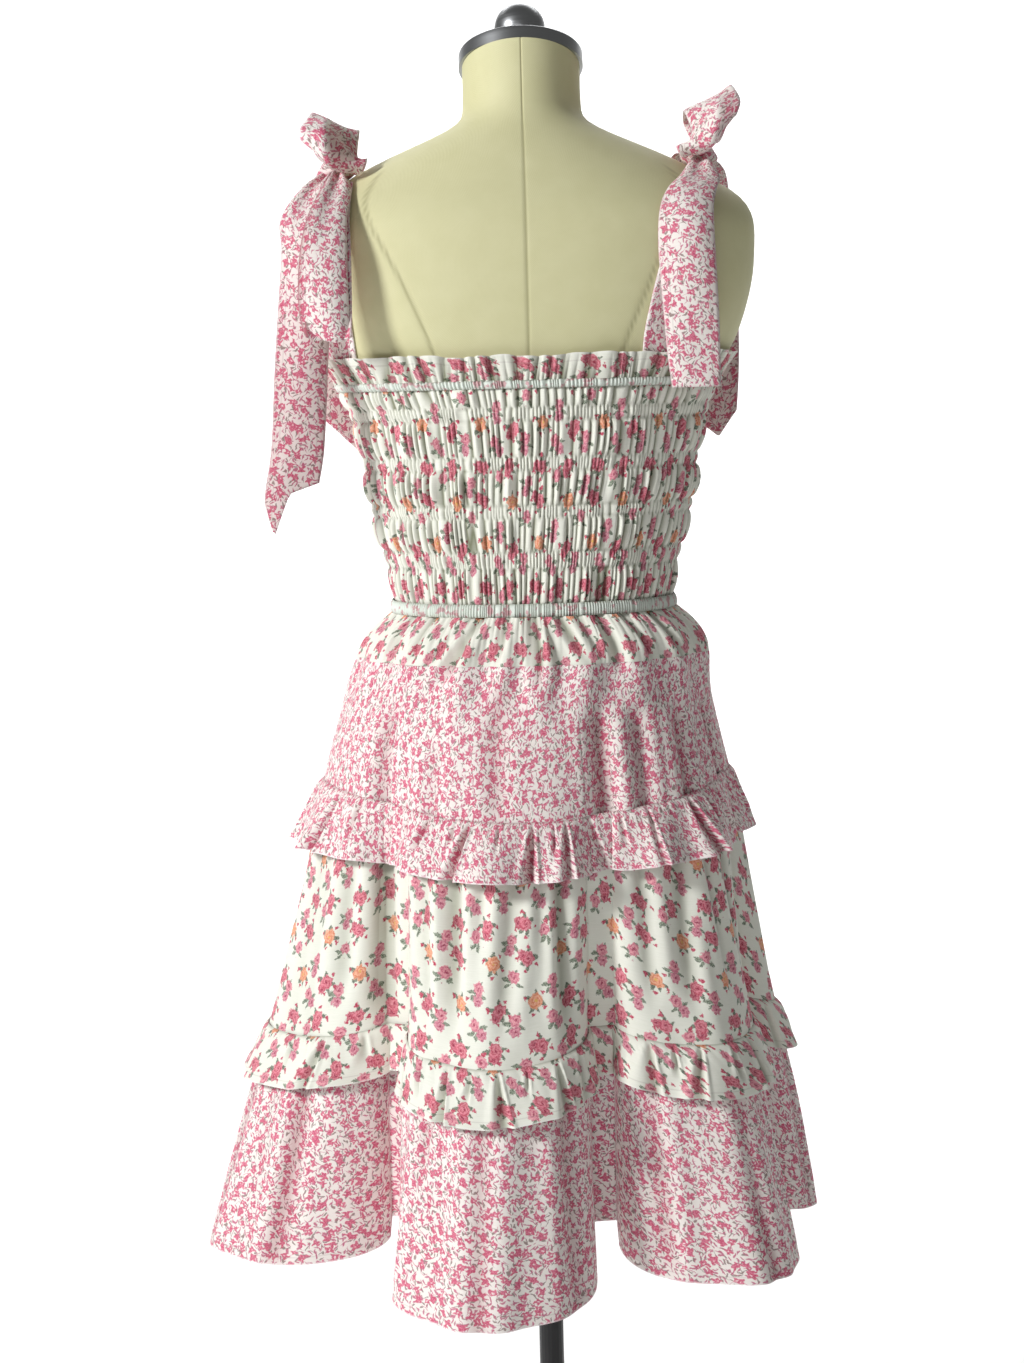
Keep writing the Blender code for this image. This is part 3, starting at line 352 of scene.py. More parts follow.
def table_values(rows, height, column):
    """Smooth values of a table's column at many heights, through every row."""
    ordered = np.array(sorted(rows), dtype=float)
    levels, values = ordered[:, 0], ordered[:, column]
    last = len(levels) - 1
    height = np.clip(height, levels[0], levels[last])
    place = np.clip(np.searchsorted(levels, height) - 1, 0, last - 1)
    before, after = np.maximum(place - 1, 0), np.minimum(place + 2, last)
    span = levels[place + 1] - levels[place]
    part = (height - levels[place]) / span
    slope_low = (values[place + 1] - values[before]) / (levels[place + 1] - levels[before]) * span
    slope_high = (values[after] - values[place]) / (levels[after] - levels[place]) * span
    square, cube = part ** 2, part ** 3
    return ((2 * cube - 3 * square + 1) * values[place] + (cube - 2 * square + part) * slope_low
            + (3 * square - 2 * cube) * values[place + 1] + (cube - square) * slope_high)


def ring_points(angle, half_width, back, front, squareness):
    """Points of a rounded section at polar angles: their x, y and radius."""
    turn = np.radians(angle)
    across, along = np.sin(turn), np.cos(turn)
    depth = np.where(along > 0, back, front)
    size = np.abs(across / half_width) ** squareness + np.abs(along / depth) ** squareness
    radius = size ** (-1.0 / squareness)
    return radius * across, -radius * along, radius


def moved_out(curve, angle, out):
    """Points of level curves, moved out along each curve's own normal."""
    step = 0.8
    x, y = curve(angle)
    next_x, next_y = curve(angle + step)
    last_x, last_y = curve(angle - step)
    along_x, along_y = next_x - last_x, next_y - last_y
    length = np.hypot(along_x, along_y)
    return x + along_y / length * out, y - along_x / length * out


def form_surface(angle, height, out):
    """Points of the dress form's surface, moved out."""
    half_width, back, front, squareness, rise = (table_values(FORM, height, column) for column in range(1, 6))

    def curve(turn):
        return ring_points(turn, half_width, back, front, squareness)[:2]

    x, y = moved_out(curve, angle, out)
    return np.stack([x, y, height - rise * y], axis=-1)


def lobe_rises(angle):
    """How far each of the skirt's lobes is risen at each angle, with its out and its dip."""
    rises = []
    for start, end, out, dip in LOBES:
        part = ((angle - start) % 360.0) / (end - start)
        inside = (part > 0.0) & (part < 1.0)
        rise = np.where(inside, np.abs(np.sin(np.pi * np.clip(part, 0.0, 1.0))) ** FOLD_ROUNDNESS, 0.0)
        rises.append((rise, out, dip))
    return rises


def hem_dip(angle):
    """How far the lobes pull the lower edges down at each angle, before each edge's own share."""
    return sum(rise * dip for rise, out, dip in lobe_rises(angle))


def lobe_rise(angle):
    """How far the highest lobe is risen at each angle, from 0 to 1."""
    return np.max([rise for rise, out, dip in lobe_rises(angle)], axis=0)


def angle_from(angle, centre):
    """Angle from a centre, between -180 and 180 degrees."""
    return (angle - centre + 180.0) % 360.0 - 180.0


def dent_depth(angle):
    """Depth of the dents at each angle, as deep as they are at the hem."""
    depth = 0.0
    for centre, half_width, deep in DENTS:
        depth = depth + deep * np.exp(-(angle_from(angle, centre) / half_width) ** 2)
    return depth


def yoke_gather(angle, height):
    """The skirt's own gathers, which open below the waist and fade out in the first tier."""
    turn = np.radians(angle)
    wave = np.sin(YOKE_GATHERS * turn + 1.1 * np.sin(3 * turn) + 0.6 * np.sin(5 * turn + 1.0))
    below = np.maximum((WAIST - height) / (WAIST - YOKE_FOOT), 0.0)
    size = 0.0030 * np.sin(np.pi * np.minimum(below / 2.6 + 0.06, 1.0)) ** 1.5
    return size * wave


def skirt_surface(angle, height, out):
    """Points of the skirt's outer surface, with its gathers and folds, moved out."""
    half_width, back, front, shift = (table_values(SKIRT, height, column) for column in range(1, 5))
    growth = np.maximum(0.0, (FOLD_START - height) / (FOLD_START - HEM_LEVEL)) ** FOLD_GROWTH

    def curve(turn):
        x, y, radius = ring_points(turn, half_width, back, front, 2.0)
        folds = sum(rise * fold for rise, fold, dip in lobe_rises(turn)) - dent_depth(turn)
        grown = 1.0 + (growth * folds + yoke_gather(turn, height)) / radius
        return x * grown + shift, y * grown

    x, y = moved_out(curve, angle, out)
    return np.stack([x, y, height + 0.0 * angle], axis=-1)


def edge_height(name, angle):
    """Height of one of the skirt's edges at each angle."""
    side = np.sin(np.radians(angle)) ** 2
    dip = hem_dip(angle)
    levels = {
        "waist": WAIST + 0.0 * angle,
        "yoke foot": YOKE_FOOT + 0.0 * angle,
        "seam 1": SEAM_1 + SEAM_1_SIDE_RISE * side,
        "ruffle 1 foot": RUFFLE_1_FOOT + RUFFLE_1_SIDE_RISE * side,
        "seam 2": SEAM_2 - DIP_AT_SEAM_2 * dip,
        "ruffle 2 foot": RUFFLE_2_FOOT - DIP_AT_RUFFLE_2 * dip,
        "hem": HEM - sum(rise ** HEM_ROUNDNESS * deep for rise, out, deep in lobe_rises(angle)),
    }
    return levels[name]


def run_lengths(points, axis):
    """Length along each row or column of points, from 0 at its start."""
    steps = np.linalg.norm(np.diff(points, axis=axis), axis=-1)
    start = np.zeros_like(np.take(steps, [0], axis=axis))
    return np.concatenate([start, np.cumsum(steps, axis=axis)], axis=axis)


def skirt_lengths():
    """Fine angles all round the skirt, and the length along it up to each of them."""
    angle = np.linspace(*ALL_ROUND, 5761)
    return angle, run_lengths(skirt_surface(angle, np.full_like(angle, MIDDLE_OF_SKIRT), 0.0), 0)


def even_angles(count):
    """Angles all round the skirt that stand evenly along it, from one side seam on."""
    angle, lengths = skirt_lengths()
    return np.interp(np.linspace(0.0, lengths[-1], count + 1), lengths, angle)


def body_grid(columns, rows, first=0.0, last=1.0):
    """A grid all round the body: the angle and the level of each of its points."""
    return np.meshgrid(np.linspace(*ALL_ROUND, columns + 1), np.linspace(first, last, rows + 1))


def uneven(share, seed, count):
    """A smooth uneven wave round the dress, from -1 to 1, with a number of bumps in one turn."""
    values = np.random.default_rng(seed).uniform(-1.0, 1.0, count)
    spot = (share % 1.0) * count
    index = np.floor(spot).astype(int)
    part = spot - index
    ease = part * part * (3.0 - 2.0 * part)
    return values[index % count] * (1.0 - ease) + values[(index + 1) % count] * ease


def smooth_ramp(value, low, high):
    """0 below the low value, 1 above the high one, smooth between."""
    part = np.clip((value - low) / (high - low), 0.0, 1.0)
    return part * part * (3.0 - 2.0 * part)


# Meshes

def grid_object(name, points, flat, closed=False, **marks):
    """A sheet of cloth over a grid of points, with its place on the flat cloth as UV, in metres.
    The marks are numbers that the materials read: edge is the distance from a free edge,
    hollow is how much painted shade darkens a point, most at the bottom of a fold, from 0 to 1."""
    rows, columns = points.shape[:2]
    across = columns - 1 if closed else columns
    corners = points[:, :across].reshape(-1, 3)
    row, column = np.meshgrid(np.arange(rows - 1), np.arange(columns - 1), indexing="ij")
    row, column = row.ravel(), column.ravel()
    beside = (column + 1) % across if closed else column + 1
    faces = np.stack([row * across + column, (row + 1) * across + column,
                      (row + 1) * across + beside, row * across + beside], axis=1)
    mesh = bpy.data.meshes.new(name)
    mesh.vertices.add(len(corners))
    mesh.vertices.foreach_set("co", corners.astype(np.float32).ravel())
    mesh.loops.add(faces.size)
    mesh.loops.foreach_set("vertex_index", faces.astype(np.int32).ravel())
    mesh.polygons.add(len(faces))
    mesh.polygons.foreach_set("loop_start", np.arange(0, faces.size, 4, dtype=np.int32))
    mesh.update(calc_edges=True)
    layer = mesh.uv_layers.new(name="cloth")
    place = np.stack([flat[row, column], flat[row + 1, column],
                      flat[row + 1, column + 1], flat[row, column + 1]], axis=1)
    layer.data.foreach_set("uv", place.astype(np.float32).ravel())
    for label, values in marks.items():
        mark = mesh.attributes.new(label, "FLOAT", "POINT")
        mark.data.foreach_set("value", values[:, :across].astype(np.float32).ravel())
    mesh.shade_smooth()
    item = bpy.data.objects.new(name, mesh)
    bpy.context.scene.collection.objects.link(item)
    return item


def flat_places(points, width):
    """Where each point lies on the flat cloth: even across each row, and up each column from its foot."""
    across, down = run_lengths(points, 1), run_lengths(points, 0)
    return np.stack([across / across[:, -1:] * width, down[-1:] - down], axis=-1)


def share_round(points):
    """How far round the body each point lies along its row, from 0 to 1."""
    return flat_places(points, 1.0)[..., 0]


def both_halves(name):
    """The back and the front solid that one piece all round the body stands for."""
    return [name + "_back", name + "_front"]


def finish_piece(item, nodes, material):
    """Ties a piece to the part: what it stands for and its material."""
    item.data.materials.append(material)
    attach(item, "root")
    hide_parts(*nodes)


def thicken(item, thickness):
    """Gives a sheet its thickness, behind its face."""
    wall = item.modifiers.new("wall", "SOLIDIFY")
    wall.thickness = thickness
    wall.offset = -1.0


# Materials

class Term:
    """A number that a material works out at each point, written like ordinary arithmetic."""

    def __init__(self, tree, socket):
        self.tree = tree
        self.socket = socket

    def combined(self, operation, *terms):
        """The outcome of one operation on terms and plain numbers."""
        node = self.tree.nodes.new("ShaderNodeMath")
        node.operation = operation
        for place, term in enumerate(terms):
            join(self.tree, term, node.inputs[place])
        return Term(self.tree, node.outputs[0])

    def __add__(self, other):
        return self.combined("ADD", self, other)

    def __sub__(self, other):
        return self.combined("SUBTRACT", self, other)

    def __rsub__(self, other):
        return self.combined("SUBTRACT", other, self)

    def __mul__(self, other):
        return self.combined("MULTIPLY", self, other)

    def made(self, operation, *others):
        """The outcome of one operation that starts with this term."""
        return self.combined(operation, self, *others)


def join(tree, value, socket):
    """Gives a socket a term, another socket or a plain value."""
    if isinstance(value, Term):
        value = value.socket
    if isinstance(value, bpy.types.NodeSocket):
        tree.links.new(value, socket)
    else:
        socket.default_value = value


def set_inputs(node, values):
    """Sets constant values on a node's own sockets."""
    for label, value in values.items():
        node.inputs[label].default_value = value


def length_of(x, y):
    """Distance of a place from the middle."""
    return (x * x + y * y).made("SQRT")


def step_down(term, low, high):
    """1 below the low value, 0 above the high one, smooth between."""
    node = term.tree.nodes.new("ShaderNodeMapRange")
    node.interpolation_type = "SMOOTHSTEP"
    join(term.tree, term, node.inputs["Value"])
    join(term.tree, low, node.inputs["From Min"])
    join(term.tree, high, node.inputs["From Max"])
    set_inputs(node, {"To Min": 1.0, "To Max": 0.0})
    return Term(term.tree, node.outputs["Result"])


def mix_node(tree, kind, share, first, second):
    """A node that mixes two colours, or two numbers."""
    node = tree.nodes.new("ShaderNodeMix")
    node.data_type = kind
    for label, value in (("Factor", share), ("A", first), ("B", second)):
        join(tree, value, node.inputs[label])
    return node


def mixed(tree, share, first, second):
    """Colour between two colours."""
    return mix_node(tree, "RGBA", share, first, second).outputs["Result"]


def blended(tree, share, first, second):
    """Number between two numbers."""
    return Term(tree, mix_node(tree, "FLOAT", share, first, second).outputs["Result"])


def parts_of(tree, vector):
    """The three numbers of a vector or a colour."""
    node = tree.nodes.new("ShaderNodeSeparateXYZ")
    join(tree, vector, node.inputs[0])
    return [Term(tree, output) for output in node.outputs]


def vector_of(tree, x, y, z=0.0):
    """A vector from its three numbers."""
    node = tree.nodes.new("ShaderNodeCombineXYZ")
    for value, socket in zip((x, y, z), node.inputs):
        join(tree, value, socket)
    return node.outputs[0]


def noise(tree, vector, scale, detail=2.0, roughness=0.5):
    """A cloudy texture."""
    node = tree.nodes.new("ShaderNodeTexNoise")
    set_inputs(node, {"Scale": scale, "Detail": detail, "Roughness": roughness})
    join(tree, vector, node.inputs["Vector"])
    return node


def chance(tree, vector):
    """Three random numbers for a place."""
    node = tree.nodes.new("ShaderNodeTexWhiteNoise")
    node.noise_dimensions = "3D"
    join(tree, vector, node.inputs["Vector"])
    return parts_of(tree, node.outputs["Color"])


def new_material(name):
    """A new material, its node tree and its surface shader."""
    material = bpy.data.materials.new(name)
    material.use_nodes = True
    return material, material.node_tree, material.node_tree.nodes["Principled BSDF"]


def cloth_place(tree):
    """The place on the flat cloth, in millimetres."""
    node = tree.nodes.new("ShaderNodeUVMap")
    node.uv_map = "cloth"
    across, along, _ = parts_of(tree, node.outputs["UV"])
    return across * 1000.0, along * 1000.0


def colour(text):
    """A colour written as six hexadecimal digits, in linear light."""
    shares = [int(text[place:place + 2], 16) / 255.0 for place in (0, 2, 4)]
    return (*[share / 12.92 if share <= 0.04045 else ((share + 0.055) / 1.055) ** 2.4
              for share in shares], 1.0)


def turned_place(x, y, turn):
    """The same place seen from axes turned by an angle."""
    cosine, sine = turn.made("COSINE"), turn.made("SINE")
    return x * cosine + y * sine, y * cosine - x * sine


def leaf(x, y, out, turn, length, width, soft=0.5):
    """A pointed leaf that starts a way out from the middle, in a direction."""
    cosine, sine = math.cos(math.radians(turn)), math.sin(math.radians(turn))
    along = (x * cosine + y * sine - out) * (1.0 / length)
    aside = (y * cosine - x * sine).made("ABSOLUTE")
    reach = (1.0 - (along * 2.0 - 1.0).made("POWER", 2.0)) * width
    return step_down(aside - reach, -soft, soft * 0.4)


def petals(x, y, radius, count, depth, soft=0.5):
    """A flower with rounded petals, and its distance from its middle."""
    away = length_of(x, y)
    turn = y.made("ARCTAN2", x)
    edge = ((turn * float(count)).made("COSINE") * depth + (1.0 - depth)) * radius
    return step_down(away - edge, -soft, soft), away, turn


def cells(tree, x, y, wide, high, shift, jitter):
    """A repeat: the place from the middle of the nearest motif, a random number and its kind, 0 to 2.
    They come again every two columns and three rows, as in a printed cloth."""
    column = (x * (1.0 / wide)).made("FLOOR")
    row_place = y * (1.0 / high) + shift
    row = row_place.made("FLOOR")
    across, down = column.made("FLOORED_MODULO", 2.0), row.made("FLOORED_MODULO", 3.0)
    key = chance(tree, vector_of(tree, across, down, shift + wide))
    kind = (across * 2.0 + down).made("FLOORED_MODULO", 3.0)
    local_x = (x * (1.0 / wide) - column - 0.5) * wide - (key[0] - 0.5) * jitter
    local_y = (row_place - row - 0.5) * high - (key[1] - 0.5) * jitter
    return local_x, local_y, key[2], kind


def scattered(tree, x, y, pitch, randomness):
    """Scattered marks: the place from the middle of the nearest one, and its random numbers."""
    node = tree.nodes.new("ShaderNodeTexVoronoi")
    node.voronoi_dimensions = "2D"
    set_inputs(node, {"Scale": 1.0, "Randomness": randomness})
    spot_x, spot_y = x * (1.0 / pitch), y * (1.0 / pitch)
    join(tree, vector_of(tree, spot_x, spot_y), node.inputs["Vector"])
    middle_x, middle_y, _ = parts_of(tree, node.outputs["Position"])
    return (spot_x - middle_x) * pitch, (spot_y - middle_y) * pitch, parts_of(tree, node.outputs["Color"])


def add_relief(tree, shader, height, strength, distance):
    """Gives a surface a fine relief."""
    bump = tree.nodes.new("ShaderNodeBump")
    set_inputs(bump, {"Strength": strength, "Distance": distance})
    join(tree, height, bump.inputs["Height"])
    tree.links.new(bump.outputs["Normal"], shader.inputs["Normal"])


def weave(tree, x, y, shader, strength):
    """Fine threads and soft slubs as a relief, and the slubs' share."""
    thread = 7.0
    threads = (x * thread).made("SINE") * (y * thread).made("SINE")
    slub = Term(tree, noise(tree, vector_of(tree, x * 0.06, y * 1.6), 1.0, 3.0).outputs["Fac"])
    add_relief(tree, shader, threads * 0.35 + slub, strength, 0.0003)
    return slub


def cotton(shader):
    """The matt, slightly soft surface of light cotton."""
    set_inputs(shader, {"Roughness": 0.85, "Specular IOR Level": 0.25, "Sheen Weight": 0.15,
                        "Sheen Roughness": 0.5})


def mark_value(tree, name):
    """A number that the mesh carries at each point."""
    node = tree.nodes.new("ShaderNodeAttribute")
    node.attribute_name = name
    return Term(tree, node.outputs["Fac"])


def cloth_colour(tree, shader, image, pale, fold_shade):
    """The print with the paler turned edge and the stitched line of a hem, and painted shade that darkens it
    in the folds.
    """
    stitch_from_edge = 6.0
    away = mark_value(tree, "edge") * 1000.0
    rim = step_down(away, 0.5, 1.6) * 0.55
    stitch = step_down((away - stitch_from_edge).made("ABSOLUTE"), 0.25, 0.7) * 0.20
    edged = mixed(tree, stitch, mixed(tree, rim, image, pale), colour("9A8C84"))
    # Painted shade: the print is multiplied towards the shade colour by the mesh's painted shade mark
    node = mix_node(tree, "RGBA", mark_value(tree, "hollow"), edged, fold_shade)
    node.blend_type = "MULTIPLY"
    tree.links.new(node.outputs["Result"], shader.inputs["Base Color"])


def brushed_place(tree, x, y, rough, wide):
    """The place with a ragged edge to all that is drawn from it, and two shares of uneven ink."""
    ragged = noise(tree, vector_of(tree, x, y), 0.95, 2.0, 0.6)
    broad = noise(tree, vector_of(tree, x + 37.0, y), 0.16, 1.0, 0.5)
    rag_x, rag_y, ink = parts_of(tree, ragged.outputs["Color"])
    turn_x, turn_y, tone = parts_of(tree, broad.outputs["Color"])
    x = x + (rag_x - 0.5) * rough + (turn_x - 0.5) * wide
    y = y + (rag_y - 0.5) * rough + (turn_y - 0.5) * wide
    return x, y, 1.0 - step_down(ink, 0.40, 0.60), tone


def floral_cotton():
    """Cream cotton with rose sprays."""
    material, tree, shader = new_material("cream floral cotton")
    cotton(shader)
    x, y = cloth_place(tree)
    slub = weave(tree, x, y, shader, 0.25)
    x, y, ink, _ = brushed_place(tree, x, y, 3.1, 5.0)
    image = mixed(tree, slub, colour("E8EADC"), colour("F7F7EE"))
    image = rose_pairs(tree, x, y, ink, image)
    image = rose_clusters(tree, x, y, ink, image)
    cloth_colour(tree, shader, image, colour("FBFAF4"), GREY_PAINTED_SHADE)
    return material


def leaves(tree, image, x, y, table, ink, dark, light):
    """Pointed leaves round a motif, by direction, length and half width."""
    green = mixed(tree, ink, dark, light)
    for turn, length, width in table:
        image = mixed(tree, leaf(x, y, 1.5, turn, length, width, 0.4) * 0.95, image, green)
    return image


def flower(tree, image, x, y, radius, ink, dark, light, heart):
    """One rose: ragged petals in two tones of ink round a small heart."""
    shape, away, around = petals(x, y, radius, 7, 0.09, 0.4)
    swirl = (away * 2.1 + around * 2.0).made("SINE") * 0.35 + 0.30
    image = mixed(tree, shape * 0.95, image, mixed(tree, swirl + ink * 0.5, dark, light))
    return mixed(tree, step_down(away, 0.5, 1.4) * shape * 0.9, image, heart)


def rose_clusters(tree, x, y, ink, image):
    """Crimson double roses with buds, and peach roses, in dark leaves."""
    place_x, place_y, key, kind = cells(tree, x, y, *ROSE_REPEAT, 3.0, 8.0)
    peach = kind.made("COMPARE", 1.0, 0.5)
    place_x, place_y = turned_place(place_x, place_y, (key - 0.5) * 2.2)
    table = ((64.0, 8.0, 1.8), (214.0, 8.6, 2.0), (262.0, 8.0, 1.7), (318.0, 8.4, 1.9), (134.0, 9.6, 1.8))
    image = leaves(tree, image, place_x, place_y, table, ink, colour("525C50"), colour("8F9986"))
    bud_red, bud_pale = colour("B43A54"), colour("DC7286")
    for left, up, size in ((-7.6, 5.8, 2.1), (5.4, -8.0, 2.0), (-5.6, -8.0, 1.8), (8.2, 3.0, 1.8)):
        bud, _, _ = petals(place_x - left, place_y - up, size, 3, 0.2, 0.4)
        image = mixed(tree, bud, image, mixed(tree, ink, bud_red, bud_pale))
    second = blended(tree, peach, 4.6, 0.3)
    image = flower(tree, image, place_x + 5.8, place_y + 2.6, second, ink, bud_red, colour("E28C9C"),
                   colour("962E48"))
    dark = mixed(tree, peach, colour("C2485F"), colour("E07C5A"))
    light = mixed(tree, peach, colour("EC98A6"), colour("F8BE9E"))
    heart = mixed(tree, peach, colour("A0304C"), colour("E8BE66"))
    size = blended(tree, peach, 6.0, 6.4)
    return flower(tree, image, place_x, place_y, size, ink, dark, light, heart)


def rose_pairs(tree, x, y, ink, image):
    """Pairs of pink roses one above the other, and single ones between long leaves."""
    half_x, half_y = ROSE_REPEAT[0] / 2, ROSE_REPEAT[1] / 2
    place_x, place_y, key, kind = cells(tree, x + half_x, y + half_y, *ROSE_REPEAT, 0.0, 9.0)
    single = kind.made("COMPARE", 2.0, 0.5)
    place_x, place_y = turned_place(place_x, place_y, (key - 0.5) * 1.4)
    table = ((190.0, 8.4, 1.8), (-8.0, 8.2, 1.7), (236.0, 7.8, 1.6), (80.0, 8.6, 1.5))
    image = leaves(tree, image, place_x, place_y + 1.0, table, ink, colour("5E6A5A"), colour("A3AD9A"))
    low_size = blended(tree, single, 4.8, 0.3)
    image = flower(tree, image, place_x - 1.8, place_y + 6.2, low_size, ink,
                   colour("BE5676"), colour("E8A6B2"), colour("9E3C58"))
    return flower(tree, image, place_x, place_y - 2.4, 5.2, ink, colour("CA5C7C"), colour("F1AEB6"),
                  colour("A43C58"))


def ditsy_cotton():
    """White cotton closely printed with small pink flowers on fine stems."""
    material, tree, shader = new_material("pink flowered cotton")
    cotton(shader)
    x, y = cloth_place(tree)
    slub = weave(tree, x, y, shader, 0.25)
    x, y, ink, tone = brushed_place(tree, x, y, 1.4, 6.0)
    image = mixed(tree, slub, colour("F3EAE4"), colour("FCF6F2"))
    leaf_pink = mixed(tree, tone, colour("BE5F7E"), colour("D27F98"))
    strokes = ((0.0, 4.5, 4.2, 0.74), (91.0, 4.9, 4.6, 0.62), (45.0, 6.2, 6.8, 0.36))
    for shift, pitch, long, wide in strokes:
        place_x, place_y, key = scattered(tree, x + shift, y, pitch, 0.95)
        place_x, place_y = turned_place(place_x, place_y, key[0] * 2.6 + 0.3)
        marks = leaf(place_x, place_y, -long / 2, 0.0, long, wide, 0.3)
        shade = mixed(tree, key[1].made("GREATER_THAN", 0.62), leaf_pink, colour("9A8480"))
        image = mixed(tree, marks * 0.92, image, shade)
    pink = mixed(tree, ink, colour("CC5476"), colour("E4829A"))
    for shift, pitch, size in ((0.0, 10.2, 2.7), (53.0, 12.6, 2.4)):
        place_x, place_y, key = scattered(tree, x + shift, y, pitch, 0.8)
        place_x, place_y = turned_place(place_x, place_y, key[0] * 6.28)
        shape, away, _ = petals(place_x, place_y, key[1] * 0.8 + size, 4, 0.24, 0.3)
        image = mixed(tree, shape * 0.95, image, pink)
        middle = step_down(away, 0.3, 0.8) * key[2].made("GREATER_THAN", 0.4)
        image = mixed(tree, middle, image, colour("FBE4E6"))
    cloth_colour(tree, shader, image, colour("FFF8F8"), PINK_PAINTED_SHADE)
    return material


def casing_cotton():
    """Pale cotton of the narrow casings, drawn into fine ribs."""
    material, tree, shader = new_material("gathered casing cotton")
    cotton(shader)
    x, y = cloth_place(tree)
    weave(tree, x, y, shader, 0.15)
    smear = noise(tree, vector_of(tree, x * 0.11, y * 0.10), 1.0, 3.0, 0.6)
    share = step_down(Term(tree, smear.outputs["Fac"]), 0.40, 0.47)
    image = mixed(tree, share * 0.62, colour("EAF2EA"), colour("CC6A80"))
    cloth_colour(tree, shader, image, colour("FBFAF4"), GREY_PAINTED_SHADE)
    return material


def form_linen():
    """Fine pale linen stretched over the form."""
    material, tree, shader = new_material("form linen")
    set_inputs(shader, {"Roughness": 0.62, "Specular IOR Level": 0.3})
    place = tree.nodes.new("ShaderNodeTexCoord")
    x, y, z = parts_of(tree, place.outputs["Object"])
    x, y, z = x * 1000.0, y * 1000.0, z * 1000.0
    threads = ((x + y) * 4.0).made("SINE") * (z * 4.0).made("SINE")
    mottle = noise(tree, vector_of(tree, x, y, z), 0.05, 4.0)
    add_relief(tree, shader, threads, 0.2, 0.0002)
    tone = mixed(tree, Term(tree, mottle.outputs["Fac"]), colour("D3D0A2"), colour("DDDAB0"))
    image = mixed(tree, mark_value(tree, "seam") * 0.6, tone, colour("8F8A62"))
    join(tree, image, shader.inputs["Base Color"])
    return material


def brushed_steel():
    """Steel brushed round its axis."""
    material, tree, shader = new_material("brushed steel")
    set_inputs(shader, {"Base Color": colour("A3A5A7"), "Metallic": 1.0})
    place = tree.nodes.new("ShaderNodeTexCoord")
    x, y, z = parts_of(tree, place.outputs["Object"])
    streaks = noise(tree, vector_of(tree, x * 20.0, y * 20.0, z * 900.0), 1.0, 3.0)
    join(tree, Term(tree, streaks.outputs["Fac"]) * 0.25 + 0.22, shader.inputs["Roughness"])
    return material


def black_paint():
    """Semi-gloss black paint of the stand."""
    material, _, shader = new_material("black painted steel")
    set_inputs(shader, {"Base Color": colour("141416"), "Roughness": 0.38})
    return material


# Pieces of the dress form and its stand

def torso(linen):
    """The form's smooth cover, with its sewn seams."""
    columns, rows = 420, 110
    angle, level = np.meshgrid(np.linspace(-180.0, 180.0, columns + 1), np.linspace(0.0, 1.0, rows + 1))
    height = FORM[-1][0] + (FORM[0][0] - FORM[-1][0]) * level
    points = form_surface(angle, height, 0.0)
    groove = seam_share(angle, height)
    points = form_surface(angle, height, -0.0006 * groove)
    flat = flat_places(points, 0.9)
    item = grid_object("torso_cover", points, flat, closed=True, seam=groove)
    close_ends(item, columns)
    finish_piece(item, ["form_torso"], linen)


def close_ends(item, columns):
    """Closes the first and the last ring of a tube."""
    mesh = item.data
    shape = bmesh.new()
    shape.from_mesh(mesh)
    shape.verts.ensure_lookup_table()
    count = len(shape.verts)
    shape.faces.new([shape.verts[place] for place in range(columns)])
    shape.faces.new([shape.verts[place] for place in range(count - 1, count - columns - 1, -1)])
    bmesh.ops.recalc_face_normals(shape, faces=shape.faces)
    shape.to_mesh(mesh)
    shape.free()
    mesh.shade_smooth()
    mesh.set_sharp_from_angle(angle=math.radians(50))


def seam_share(angle, height):
    """How near each point is to one of the form's seams, from 0 to 1."""
    lines = [angle, np.where(np.abs(angle) > 90.0, np.abs(np.abs(angle) - 180.0), 99.0)]
    for foot, top in ((-34.0, -62.0), (34.0, 62.0), (146.0, 118.0), (-146.0, -118.0)):
        share = np.clip((height - 1.15) / 0.19, 0.0, 1.3)
        lines.append(np.where(height < 1.345, angle - foot - (top - foot) * share ** 2, 99.0))
    near = np.min(np.abs(lines), axis=0)
    groove = np.exp(-(near / 0.6) ** 2)
    neck = np.exp(-((height - 1.393) / 0.0014) ** 2)
    return np.maximum(groove, neck)


def turned_piece(name, profile, columns=96):
    """A turned piece: a profile of radius and height, from its top down its outer side."""
    turn = np.radians(np.linspace(0.0, 360.0, columns + 1))
    radius = np.array([max(row[0], 0.00002) for row in profile])[:, None]
    height = np.array([row[1] for row in profile])[:, None]
    points = np.stack([radius * np.cos(turn), radius * np.sin(turn), height + 0.0 * turn], axis=-1)
    item = grid_object(name, points, flat_places(points, 1.0), closed=True)
    item.data.set_sharp_from_angle(angle=math.radians(40))
    return item


def arc(centre, radius, start, end, steps):
    """Points of an arc in a profile, by angle from the axis of the turn."""
    turns = [math.radians(start + (end - start) * step / steps) for step in range(steps + 1)]
    return [(centre[0] + radius * math.sin(turn), centre[1] + radius * math.cos(turn)) for turn in turns]


